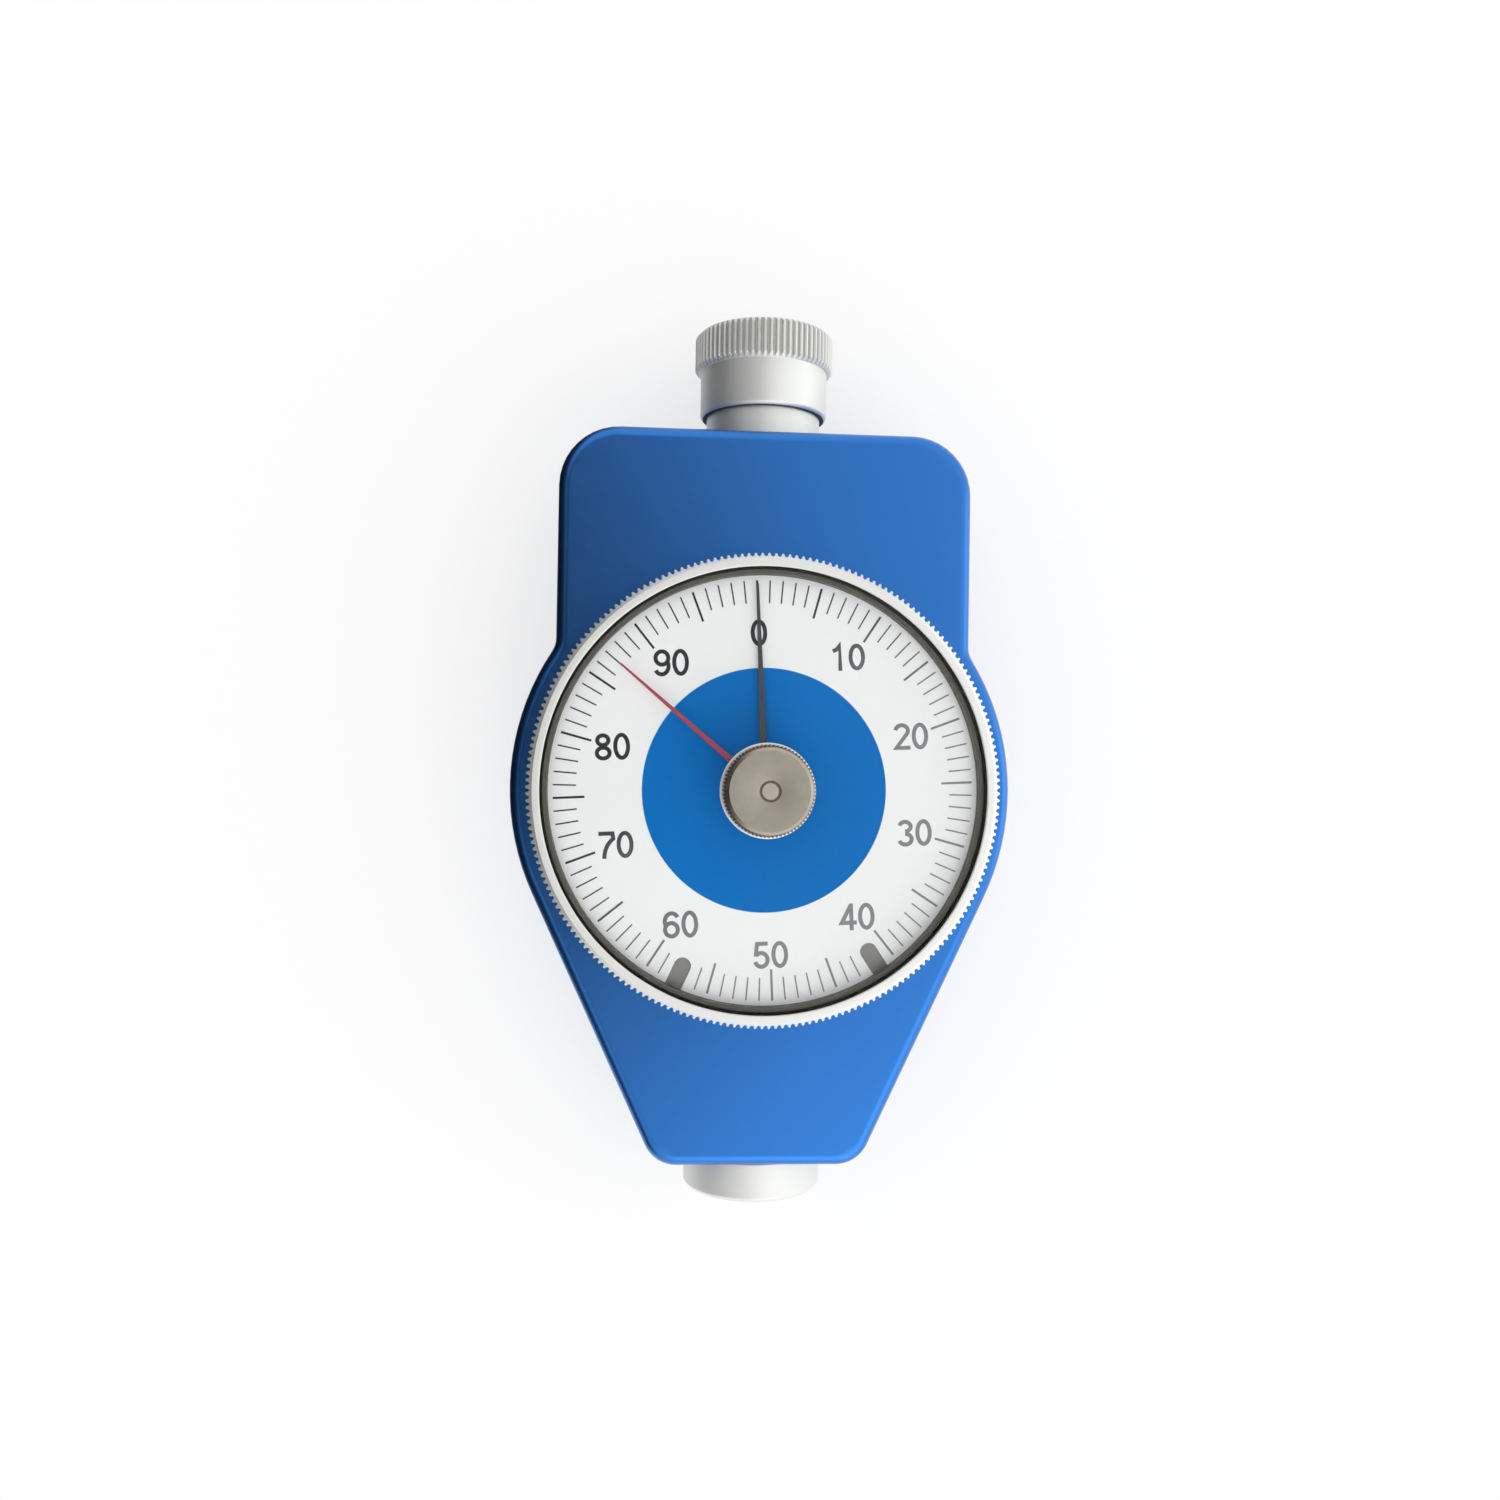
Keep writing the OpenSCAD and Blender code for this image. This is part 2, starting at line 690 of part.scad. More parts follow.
module plate_screws() {
    color(tool_steel) at_plate_screws() difference() {
        union() {
            translate([0, 0, front_plate_z - plate_screw_head_h])
                cylinder(r = plate_screw_head_r, h = plate_screw_head_h);
            translate([0, 0, front_plate_z - plate_screw_head_h])
                cylinder(r = plate_screw_r, h = plate_screw_head_h + front_plate_t + plate_screw_depth);
        }
        translate([-plate_screw_head_r - cut, -cross_w / 2, front_plate_z - plate_screw_head_h - cut])
            cube([2 * (plate_screw_head_r + cut), cross_w, cut + plate_screw_head_h / 2]);
    }
}

module guide_block() {
    slot_half = pin_r + 2 * run_gap;
    mid_y = pin_y + travel / 2;
    color(brass) difference() {
        translate([spindle_r + block_gap, mid_y - block_half, block_low_z])
            cube([block_w, 2 * block_half, front_plate_z - block_low_z]);
        translate([spindle_r + block_gap - cut, mid_y - travel / 2 - pin_r - seat_gap, axis_z - slot_half])
            cube([block_w + 2 * cut, travel + 2 * pin_r + 2 * seat_gap, 2 * slot_half]);
    }
}

// Place of the post that holds the hairspring's outer end
module stud_place() {
    rotate([0, 0, hairspring_end + (stud_r + run_gap) / hairspring_r1 * 180 / PI])
        translate([hairspring_r1, 0, 0]) children();
}

module hairspring() {
    steps = hairspring_turns * hairspring_steps;
    edge = [for (side = [-1, 1]) [for (i = [0:steps])
        let (a = hairspring_end * i / steps,
            r = hairspring_r0 + (hairspring_r1 - hairspring_r0) * i / steps + side * hairspring_w / 2)
        [r * cos(a), r * sin(a)]]];
    backwards = [for (i = [steps:-1:0]) edge[0][i]];
    color(tool_steel) translate([0, 0, hairspring_z]) linear_extrude(hairspring_h)
        polygon(concat(edge[1], backwards));
}

module hairspring_stud() {
    color(brass) stud_place() translate([0, 0, front_plate_z])
        cylinder(r = stud_r, h = hairspring_z + hairspring_h + seat_gap - front_plate_z);
}

module bezel_wire() {
    color(tool_steel) translate([0, 0, wire_z]) rotate([0, 0, wire_start])
        rotate_extrude(angle = wire_sweep) translate([spigot_r + slide_gap / 2, 0]) circle(wire_r);
}

module spindle() {
    color(tool_steel) difference() {
        spindle_rod(spindle_r, spindle_end_y, spindle_top_y);
        spindle_rod(indenter_r + press_gap, spindle_end_y - cut, spindle_end_y + indenter_hold);
        translate([0, 0, axis_z - spindle_r - cut]) linear_extrude(2 * (spindle_r + cut))
            polygon(rack_cut());
        translate([-pin_hold, pin_y, axis_z]) rotate([0, 90, 0])
            cylinder(r = pin_r + press_gap, h = pin_hold + spindle_r + cut);
    }
}

module indenter() {
    color(tool_steel) along_spindle(tip_y) rotate_extrude() polygon([
        [0, 0], [tip_d / 2, 0], [indenter_r, tip_len], [indenter_r, spindle_end_y + indenter_hold - tip_y],
        [0, spindle_end_y + indenter_hold - tip_y]]);
}

module spring_seat() {
    color(brass) difference() {
        spindle_rod(chamber_r - seat_gap, seat_y, seat_y + seat_h);
        spindle_rod(spindle_r + press_gap, seat_y - cut, seat_y + seat_h + cut);
    }
}

module guide_pin() {
    color(tool_steel) translate([-pin_hold, pin_y, axis_z]) rotate([0, 90, 0])
        cylinder(r = pin_r, h = pin_hold + pin_reach);
}

module idler_arbor() {
    color(tool_steel) translate([idler_x, idler_y, 0]) {
        dial_rod(pivot_r, bridge_z + pivot_inset, inner_z - pivot_inset);
        dial_rod(idler_r, bridge_z + plate_t + seat_gap, front_plate_z - seat_gap);
        translate([0, 0, axis_z - rack_pinion_half]) linear_extrude(2 * rack_pinion_half)
            polygon(gear_points(rack_pinion_teeth, rack_module));
    }
}

module idler_wheel() {
    wheel_z = gear_mid_z - wheel_t / 2;
    color(brass) translate([idler_x, idler_y, wheel_z]) linear_extrude(wheel_t) difference() {
        rotate(mesh_angle) polygon(gear_points(wheel_teeth, wheel_module));
        circle(idler_r + press_gap);
        for (i = [0:window_count - 1]) rotate(360 * i / window_count)
            translate([wheel_r * window_ring, 0]) circle(wheel_r * window_size);
    }
}

module centre_arbor() {
    color(tool_steel) {
        dial_rod(pivot_r, middle_z + pivot_inset, middle_front_z + cut);
        dial_rod(arbor_r, middle_front_z + seat_gap, arbor_top_z);
        translate([0, 0, gear_mid_z - centre_pinion_t / 2]) linear_extrude(centre_pinion_t)
            rotate(mesh_angle + 180 + 180 / centre_teeth) polygon(gear_points(centre_teeth, wheel_module));
    }
}

module hairspring_collet() {
    collet_z = hairspring_z + (hairspring_h - collet_h) / 2;
    color(brass) dial_ring(arbor_r + press_gap, collet_r, collet_z, collet_z + collet_h);
}

module pointer_hub() {
    color(brass) {
        dial_ring(arbor_r + press_gap, hub_r, pointer_z - hub_h, pointer_z);
        dial_ring(arbor_r + press_gap, hub_neck_r, pointer_z, pointer_z + pointer_t + seat_gap);
    }
}

// Flat pointer along Y with a hub, a tail and a tapered blade
module pointer_shape(length, tail, root_half, tip_half, eye_r, hole_r) {
    difference() {
        union() {
            circle(eye_r);
            polygon([[-tail_flare * root_half, -tail], [tail_flare * root_half, -tail], [root_half, 0],
                [tip_half, length], [-tip_half, length], [-root_half, 0]]);
        }
        circle(hole_r);
    }
}

module main_pointer() {
    color(ink_black) rotate([0, 0, dial_turn]) {
        translate([0, 0, pointer_z]) linear_extrude(pointer_t)
            pointer_shape(pointer_len, pointer_tail, pointer_root_half, pointer_tip_half, pointer_eye_r,
                hub_neck_r + press_gap);
        translate([-catch_w / 2, catch_r, pointer_z]) cube([catch_w, catch_w, catch_h]);
    }
}

module bezel() {
    $fn = fine_fn;
    color(satin_silver) difference() {
        intersection() {
            translate([0, 0, bezel_bottom_z]) linear_extrude(bezel_front_z - bezel_bottom_z)
                polygon(knurl_points(bezel_r, bezel_knurl, bezel_teeth));
            rotate_extrude() polygon([
                [bezel_bore_r, bezel_bottom_z - cut], [bezel_r + cut, bezel_bottom_z - cut],
                [bezel_r + cut, bezel_front_z - bezel_chamfer - cut],
                [bezel_r - bezel_chamfer - cut, bezel_front_z + cut], [lip_r, bezel_front_z + cut],
                [lip_r, bezel_front_z - lip_t], [bezel_bore_r, bezel_front_z - lip_t]]);
        }
        translate([0, 0, wire_z - wire_groove_h / 2])
            cylinder(r = bezel_bore_r + wire_groove_depth, h = wire_groove_h);
    }
}

module crystal() {
    $fn = fine_fn;
    color(clear) difference() {
        union() {
            dial_ring(ring_inner_r, dial_r, flange_z, flange_z + flange_t);
            intersection() {
                dial_rod(dome_r, flange_z, dome_top_z + cut);
                translate([0, 0, dome_centre_z]) sphere(dome_sphere_r);
            }
        }
        translate([0, 0, dome_centre_z]) sphere(dome_sphere_r - crystal_t);
        dial_rod(bush_r + press_gap, flange_z, dome_top_z + cut);
    }
}

module spacer_ring() {
    color(ink_black) dial_ring(ring_inner_r, dial_r, dial_face_z, flange_z);
}

module dial_plate() {
    color(dial_white) difference() {
        union() {
            dial_rod(dial_r, dial_z, dial_face_z);
            dial_rod(disc_d / 2, dial_z, dial_face_z + print_h);
            for (i = [0:tick_count - 1]) rotate([0, 0, dial_turn - 360 * i / tick_count]) {
                fifth = i % 5 == 0;
                length = fifth ? tick_long : tick_short;
                width = fifth ? tick_long_w : tick_short_w;
                translate([-width / 2, tick_r - length, dial_z + dial_t / 2])
                    cube([width, length, dial_t / 2 + print_h]);
            }
        }
        dial_rod(dial_hole_r, dial_z - cut, dial_face_z + cut);
        at_notches() translate([0, 0, dial_z - cut]) linear_extrude(dial_t + 2 * cut) {
            translate([notch_end_r + notch_w / 2, 0]) circle(notch_w / 2);
            translate([notch_end_r + notch_w / 2, -notch_w / 2]) square([dial_r, notch_w]);
        }
    }
}

module dial_carrier() {
    color(satin_silver) {
        dial_ring(dial_r - carrier_w, dial_r, carrier_z, dial_z);
        at_notches() translate([dial_r - lug_len - seat_gap, -notch_w / 2 + seat_gap, carrier_z])
            cube([lug_len, notch_w - 2 * seat_gap, carrier_t + dial_t - seat_gap]);
    }
}

module crystal_bush() {
    color(brass) {
        dial_ring(shaft_r + run_gap, bush_r, dome_under_z - seat_gap, dome_top_z + bush_flange_t);
        dial_ring(shaft_r + run_gap, bush_flange_r, dome_top_z, dome_top_z + bush_flange_t);
    }
}

module reset_knob() {
    top_z = knob_z + knob_h;
    color(nickel) difference() {
        union() {
            dial_rod(knob_flange_d / 2, knob_z, knob_z + knob_flange_h);
            intersection() {
                translate([0, 0, knob_z]) linear_extrude(knob_h)
                    polygon(knurl_points(knob_d / 2, knob_knurl, knob_teeth));
                rotate_extrude() polygon([
                    [0, knob_z], [knob_d / 2 + cut, knob_z], [knob_d / 2 + cut, top_z - knob_chamfer - cut],
                    [knob_d / 2 - knob_chamfer, top_z], [0, top_z]]);
            }
        }
        dial_rod(shaft_r + press_gap, knob_z - cut, top_z + cut);
        dial_rod(knob_dish_r, top_z - knob_dish_h, top_z + cut);
    }
}

module knob_shaft() {
    color(nickel) dial_rod(shaft_r, peak_z, knob_z + knob_h);
}

module peak_hub() {
    top_z = dome_under_z - washer_t - 3 * seat_gap;
    color(brass) dial_ring(shaft_r + press_gap, peak_hub_r, peak_z + pointer_t, top_z);
}

module peak_pointer() {
    color(ink_red) translate([0, 0, peak_z]) linear_extrude(pointer_t) rotate(peak_angle)
        pointer_shape(peak_len, peak_tail, peak_root_half, peak_tip_half, peak_hub_r, shaft_r + press_gap);
}

module friction_washer() {
    washer_z = dome_under_z - washer_t - 2 * seat_gap;
    color(tool_steel) dial_ring(shaft_r + press_gap, washer_r, washer_z, washer_z + washer_t);
}

module cap_seal() {
    color(rubber) spindle_rod(seal_r, cap_roof_y - seal_t - seat_gap / 2, cap_roof_y - seat_gap / 2);
}

module top_cap() {
    rim_r = rim_d / 2;
    color(satin_silver) difference() {
        union() {
            along_spindle(cap_y) rotate_extrude() polygon([
                [0, 0], [collar_d / 2 - collar_chamfer, 0], [collar_d / 2, collar_chamfer],
                [collar_d / 2, collar_h + cut], [0, collar_h + cut]]);
            intersection() {
                along_spindle(rim_y) linear_extrude(rim_h)
                    polygon(groove_points(rim_r, rim_knurl, rim_grooves));
                along_spindle(rim_y) rotate_extrude() polygon([
                    [0, 0], [rim_r - rim_chamfer, 0], [rim_r + cut, rim_chamfer + cut],
                    [rim_r + cut, rim_h - rim_chamfer - cut], [rim_r - rim_chamfer, rim_h], [0, rim_h]]);
            }
        }
        spindle_rod(neck_r + thread_gap, cap_y - cut, cap_y + cap_counterbore);
        spindle_rod(thread_r + thread_gap, cap_y - cut, cap_roof_y);
    }
}

housing();
rear_cover();
rear_cover_screws();
presser_foot();
spring_barrel();
spring_adjuster();
main_spring();
front_plate();
middle_plate();
rear_bridge();
plate_pillars();
plate_screws();
guide_block();
hairspring();
hairspring_stud();
bezel_wire();
spindle();
indenter();
spring_seat();
guide_pin();
idler_arbor();
idler_wheel();
centre_arbor();
hairspring_collet();
pointer_hub();
main_pointer();
bezel();
crystal();
spacer_ring();
dial_plate();
dial_carrier();
crystal_bush();
reset_knob();
knob_shaft();
peak_hub();
peak_pointer();
friction_washer();
cap_seal();
top_cap();
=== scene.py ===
"""Looks of the dial durometer: it lies on its back on a white table, seen from above the dial."""
import math

import bmesh
import bpy
from mathutils import Matrix, Vector


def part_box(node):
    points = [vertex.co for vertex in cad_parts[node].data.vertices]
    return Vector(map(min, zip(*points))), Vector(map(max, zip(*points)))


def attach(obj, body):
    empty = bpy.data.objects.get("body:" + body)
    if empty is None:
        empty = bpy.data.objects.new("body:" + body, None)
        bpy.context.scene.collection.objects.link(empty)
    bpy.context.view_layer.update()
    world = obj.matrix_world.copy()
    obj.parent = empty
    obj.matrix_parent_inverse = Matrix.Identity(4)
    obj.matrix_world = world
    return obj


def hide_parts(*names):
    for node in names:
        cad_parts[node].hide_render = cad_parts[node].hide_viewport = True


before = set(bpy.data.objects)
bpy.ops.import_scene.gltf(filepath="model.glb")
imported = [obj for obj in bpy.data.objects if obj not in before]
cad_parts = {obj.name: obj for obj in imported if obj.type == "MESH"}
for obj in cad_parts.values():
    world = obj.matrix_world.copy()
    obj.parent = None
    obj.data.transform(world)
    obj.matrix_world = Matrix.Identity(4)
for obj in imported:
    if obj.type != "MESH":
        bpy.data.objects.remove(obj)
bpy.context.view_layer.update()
scene = bpy.context.scene

MM = 0.001

# Camera at the photograph's viewing angle: place in millimetres, angles in degrees
CAMERA_PLACE = (-12.02, 2.65, 171.7)
CAMERA_YAW = -3.9
CAMERA_PITCH = 0.83
CAMERA_ROLL = 0.94
CAMERA_LENS = 29.68
CAMERA_SENSOR = 36.0
CAMERA_NEAR = 5.0

# Axis of the spindle, the foot and the cap, which runs along Y
SPINDLE_Z = (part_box("presser_foot")[0].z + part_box("presser_foot")[1].z) / 2

# Dial print, in millimetres and degrees; each stroke of a digit lies one step over the last
DIAL_TURN = 3.0
DISC_R = 14.8
DISC_MARGIN = 0.1
PRINT_H = 0.03
INK_H = 0.02
STROKE_STEP = 0.004

# Numerals, in millimetres and degrees: some stand off their line by the lean, the lowest is farther out
SCALE_UNITS = 100
NUMERAL_STEP = 10
LEANING = (10, 40, 60, 90)
LOWEST = 50
NUMERAL_R = 19.05
NUMERAL_LOW_R = 19.9
NUMERAL_LEAN = 1.8
NUMERAL_H = 3.25

# Painted reflection on the scale's ink: the direction toward which it greys, and in millimetres how far
# each way and how much that varies
GLARE_TOWARD = (0.72, -0.69, 0.0)
GLARE_REACH = 15.0
GLARE_CLOUD = 3.0

# Digits, as shares of their height; a stroke is a loop if its ends are closer than CLOSED
DIGIT_W = 0.62
DIGIT_STEP = 0.685
DIGIT_STROKE = 0.15
MITRE_LIMIT = 0.5
CLOSED = 1e-6

# Bezel, in millimetres
BEZEL_TEETH = 216
BEZEL_KNURL = 0.5
BEZEL_CHAMFER = 0.85
BEZEL_WALL = 1.3
LIP_W = 1.7
LIP_T = 0.4
LIP_EDGE = 0.12
BEZEL_FOOT = 0.2

# Reset knob, in millimetres
KNOB_TEETH = 72
KNOB_KNURL = 0.3
KNOB_R = 5.4
KNOB_FLANGE_H = 0.5
KNOB_CHAMFER = 0.7
KNOB_DISH_R = 1.25
KNOB_DISH_H = 0.25
KNOB_BORE_R = 0.96
KNOB_FOOT_EDGE = 0.1
KNOB_FLANGE_EDGE = 0.15
KNOB_DISH_EDGE = 0.06

# Cap, in millimetres
CAP_GROOVES = 70
CAP_KNURL = 0.35
CAP_EDGE = 0.5
COLLAR_R = 8.25
COLLAR_H = 6.0
COLLAR_BORE_R = 7.48
CAP_THREAD_R = 6.68
CAP_LEDGE_H = 0.9
CAP_ROOF_T = 3.6
CAP_CENTRE_R = 0.02
COLLAR_EDGE = 0.5
COLLAR_CORNER_H = 0.15
COLLAR_CORNER_W = 0.1
COLLAR_FILLET = 0.1
# Rows of the cap's underside that get painted shade
SHADED_UNDER_ROWS = 3

# Knurls: depths round one tooth as shares of the full depth, and the depth from which a groove's floor has
# painted shade
BEZEL_MARKS = (0.0, 0.12, 0.88, 1.0, 0.88, 0.12)
KNOB_MARKS = (0.0, 0.15, 0.85, 1.0, 0.85, 0.15)
CAP_MARKS = (0.0, 0.0, 0.0, 0.5, 1.0, 1.0, 1.0, 0.5)
GROOVE_FLOOR = 0.7

# Steps across a chamfer and across the cap's edges
CHAMFER_STEPS = 6
EDGE_STEPS = 3

# Widths of broken edges, in millimetres
BODY_EDGE = 0.12
SCREW_EDGE = 0.08
FOOT_EDGE = 0.12
NECK_EDGE = 0.1
POINTER_EDGE = 0.08
RIVET_EDGE = 0.14

# Meshes: distance at which points join, in metres, and angles in degrees from which edges show
WELD = 1e-7
SHARP = 32.0
TURNED_SHARP = 25.0

# Studio, in metres, with the share of plain white that the paper shows and the brightness of the tent
TABLE_R = 1.6
TABLE_GAP = 0.00002
TABLE_SIDES = 96
TABLE_WHITE = 0.6
FLAG_SIDES = 64
TENT_LIGHT = 1.0


def linear(hex_colour):
    """An sRGB hex colour as linear RGBA."""
    parts = [int(hex_colour[i:i + 2], 16) / 255 for i in (1, 3, 5)]
    return [c / 12.92 if c <= 0.04045 else ((c + 0.055) / 1.055) ** 2.4 for c in parts] + [1.0]


def spacing(size_mm):
    """Pattern scale at which the features lie about this many millimetres apart."""
    return 1 / (size_mm * MM)


def add(tree, kind, inputs=None, **settings):
    """Adds a node: its settings, and for each input a value or the socket that feeds it."""
    made = tree.nodes.new(kind)
    for name, value in settings.items():
        setattr(made, name, value)
    for name, value in (inputs or {}).items():
        if isinstance(value, bpy.types.NodeSocket):
            tree.links.new(value, made.inputs[name])
        else:
            made.inputs[name].default_value = value
    return made


def start_material(name, **sockets):
    """A material with its shader's sockets set by name; also gives the object's coordinates."""
    material = bpy.data.materials.new(name)
    material.use_nodes = True
    tree = material.node_tree
    shader = tree.nodes["Principled BSDF"]
    for socket, value in sockets.items():
        shader.inputs[socket.replace("_", " ")].default_value = value
    place = add(tree, "ShaderNodeTexCoord").outputs["Object"]
    return material, tree, shader, place


def feed(tree, shader, **sources):
    """Links outputs of other nodes to the shader's sockets by name."""
    for socket, source in sources.items():
        tree.links.new(source, shader.inputs[socket.replace("_", " ")])


def metallic_enamel():
    """Metallic enamel, sprayed and baked on the die-cast body: a deep clear blue with a soft sheen.
    The flakes are drawn coarser than real ones, so that they show at all."""
    material, tree, shader, place = start_material(
        "metallic_enamel", Metallic=1.0, Coat_Weight=0.75, Coat_Roughness=0.45)
    flake = add(tree, "ShaderNodeTexVoronoi", {"Vector": place, "Scale": spacing(0.18)})
    cloud = add(tree, "ShaderNodeTexNoise", {"Vector": place, "Scale": spacing(14), "Detail": 3.0})
    peel = add(tree, "ShaderNodeTexNoise", {"Vector": place, "Scale": spacing(1.1), "Detail": 2.0})
    blue = add(tree, "ShaderNodeMix", {0: cloud.outputs["Fac"], 6: linear("#1d74cb"), 7: linear("#2279d1")},
               data_type="RGBA")
    sheen = add(tree, "ShaderNodeMapRange", {"Value": flake.outputs["Color"], "To Min": 0.3,
                                             "To Max": 0.37})
    skin = add(tree, "ShaderNodeBump", {"Height": peel.outputs["Fac"], "Distance": 0.004 * MM})
    feed(tree, shader, Base_Color=blue.outputs[2], Roughness=sheen.outputs["Result"],
         Normal=skin.outputs["Normal"])
    return material


def turned_aluminium(name, along, colour, metallic, low, high):
    """Turned, blasted and clear-anodised aluminium: a soft grey-white metal with faint tool rings
    round the dial's axis or the spindle's. The rings are drawn coarser than real ones."""
    material, tree, shader, place = start_material(name, Metallic=metallic, Base_Color=linear(colour))
    if along == "radius":
        flat = add(tree, "ShaderNodeVectorMath", {0: place, 1: (1, 1, 0)}, operation="MULTIPLY")
        run = add(tree, "ShaderNodeVectorMath", {0: flat.outputs[0]}, operation="LENGTH").outputs["Value"]
    else:
        run = add(tree, "ShaderNodeSeparateXYZ", {"Vector": place}).outputs["Y"]
    rings = add(tree, "ShaderNodeTexNoise", {"W": run, "Scale": spacing(0.22), "Detail": 3.0},
                noise_dimensions="1D")
    grain = add(tree, "ShaderNodeTexNoise", {"Vector": place, "Scale": spacing(0.35), "Detail": 2.0})
    both = add(tree, "ShaderNodeMath", {0: rings.outputs["Fac"], 1: grain.outputs["Fac"]}, operation="ADD")
    sheen = add(tree, "ShaderNodeMapRange", {"Value": both.outputs[0], "From Max": 2.0, "To Min": low,
                                             "To Max": high})
    marks = add(tree, "ShaderNodeBump", {"Height": rings.outputs["Fac"], "Distance": 0.003 * MM})
    feed(tree, shader, Roughness=sheen.outputs["Result"], Normal=marks.outputs["Normal"])
    return material


def brushed_nickel(name, first, second, low, high, metallic=1.0):
    """Nickel plate on the turned brass knob: a warm grey metal with circular brush marks.
    Darker, browner copies of it are painted shade in the knurl and the dish, and a paler one is a painted
    highlight on the flange."""
    material, tree, shader, place = start_material(name, Metallic=metallic)
    flat = add(tree, "ShaderNodeVectorMath", {0: place, 1: (1, 1, 0)}, operation="MULTIPLY")
    run = add(tree, "ShaderNodeVectorMath", {0: flat.outputs[0]}, operation="LENGTH").outputs["Value"]
    rings = add(tree, "ShaderNodeTexNoise", {"W": run, "Scale": spacing(0.12), "Detail": 4.0},
                noise_dimensions="1D")
    cloud = add(tree, "ShaderNodeTexNoise", {"Vector": place, "Scale": spacing(1.2), "Detail": 4.0})
    warm = add(tree, "ShaderNodeMix", {0: cloud.outputs["Fac"], 6: linear(first), 7: linear(second)},
               data_type="RGBA")
    sheen = add(tree, "ShaderNodeMapRange", {"Value": rings.outputs["Fac"], "To Min": low, "To Max": high})
    marks = add(tree, "ShaderNodeBump", {"Height": rings.outputs["Fac"], "Distance": 0.003 * MM})
    feed(tree, shader, Base_Color=warm.outputs[2], Roughness=sheen.outputs["Result"],
         Normal=marks.outputs["Normal"])
    return material


def dial_print(name, first, second, roughness):
    """Silk-screened lacquer on the aluminium dial: an even matt colour with a faint paper tooth."""
    material, tree, shader, place = start_material(
        name, Roughness=roughness, IOR=1.5, Specular_IOR_Level=0.05)
    tooth = add(tree, "ShaderNodeTexNoise", {"Vector": place, "Scale": spacing(0.3), "Detail": 3.0})
    cloud = add(tree, "ShaderNodeTexNoise", {"Vector": place, "Scale": spacing(6), "Detail": 2.0})
    ink = add(tree, "ShaderNodeMix", {0: cloud.outputs["Fac"], 6: linear(first), 7: linear(second)},
              data_type="RGBA")
    skin = add(tree, "ShaderNodeBump", {"Height": tooth.outputs["Fac"], "Distance": 0.002 * MM})
    feed(tree, shader, Base_Color=ink.outputs[2], Normal=skin.outputs["Normal"])
    return material


def scale_ink():
    """Silk-screened black ink of the scale: matt, and dense on the upper left. Toward the lower right
    it turns grey: a painted reflection, glare over the print."""
    material, tree, shader, place = start_material(
        "black_dial_ink_painted_glare", Roughness=0.5, IOR=1.5, Specular_IOR_Level=0.15)
    slope = add(tree, "ShaderNodeVectorMath", {0: place, 1: GLARE_TOWARD}, operation="DOT_PRODUCT")
    cloud = add(tree, "ShaderNodeTexNoise", {"Vector": place, "Scale": spacing(6), "Detail": 2.0})
    wave = add(tree, "ShaderNodeMath", {0: cloud.outputs["Fac"], 1: GLARE_CLOUD * MM,
                                        2: slope.outputs["Value"]}, operation="MULTIPLY_ADD")
    glare_share = add(tree, "ShaderNodeMapRange", {"Value": wave.outputs[0], "From Min": -GLARE_REACH * MM,
                                            "From Max": GLARE_REACH * MM}, interpolation_type="SMOOTHSTEP")
    ink = add(tree, "ShaderNodeMix", {0: glare_share.outputs["Result"], 6: linear("#313437"),
                                      7: linear("#888b8d")}, data_type="RGBA")
    feed(tree, shader, Base_Color=ink.outputs[2])
    return material


def pointer_lacquer(name, first, second):
    """Stove lacquer on the sheet-metal pointers: a thin skin with a clean gloss."""
    material, tree, shader, place = start_material(name, IOR=1.5, Coat_Weight=0.5, Coat_Roughness=0.15)
    cloud = add(tree, "ShaderNodeTexNoise", {"Vector": place, "Scale": spacing(0.8), "Detail": 3.0})
    paint = add(tree, "ShaderNodeMix", {0: cloud.outputs["Fac"], 6: linear(first), 7: linear(second)},
                data_type="RGBA")
    sheen = add(tree, "ShaderNodeMapRange", {"Value": cloud.outputs["Fac"], "To Min": 0.25, "To Max": 0.4})
    feed(tree, shader, Base_Color=paint.outputs[2], Roughness=sheen.outputs["Result"])
    return material


def black_anodised():
    """Black-anodised spacer ring under the crystal: a dark, slightly warm satin."""
    material, tree, shader, place = start_material("black_anodised", Metallic=0.3)
    grain = add(tree, "ShaderNodeTexNoise", {"Vector": place, "Scale": spacing(0.25), "Detail": 3.0})
    dark = add(tree, "ShaderNodeMix", {0: grain.outputs["Fac"], 6: linear("#515047"), 7: linear("#605f55")},
               data_type="RGBA")
    sheen = add(tree, "ShaderNodeMapRange", {"Value": grain.outputs["Fac"], "To Min": 0.45, "To Max": 0.6})
    feed(tree, shader, Base_Color=dark.outputs[2], Roughness=sheen.outputs["Result"])
    return material


def cast_acrylic():
    """Cast acrylic of the domed crystal, bloomed against glare: it stays clear, with faint reflections,
    so its IOR is below that of bare acrylic. Lamps reach the dial through it."""
    material, tree, shader, place = start_material(
        "cast_acrylic", Base_Color=linear("#fdfefe"), Roughness=0.01, IOR=1.15, Transmission_Weight=1.0)
    clear = add(tree, "ShaderNodeBsdfTransparent", {"Color": linear("#fdfefe")})
    path = add(tree, "ShaderNodeLightPath")
    through = add(tree, "ShaderNodeMixShader", {0: path.outputs["Is Shadow Ray"], 1: shader.outputs[0],
                                                2: clear.outputs[0]})
    tree.links.new(through.outputs[0], tree.nodes["Material Output"].inputs["Surface"])
    return material


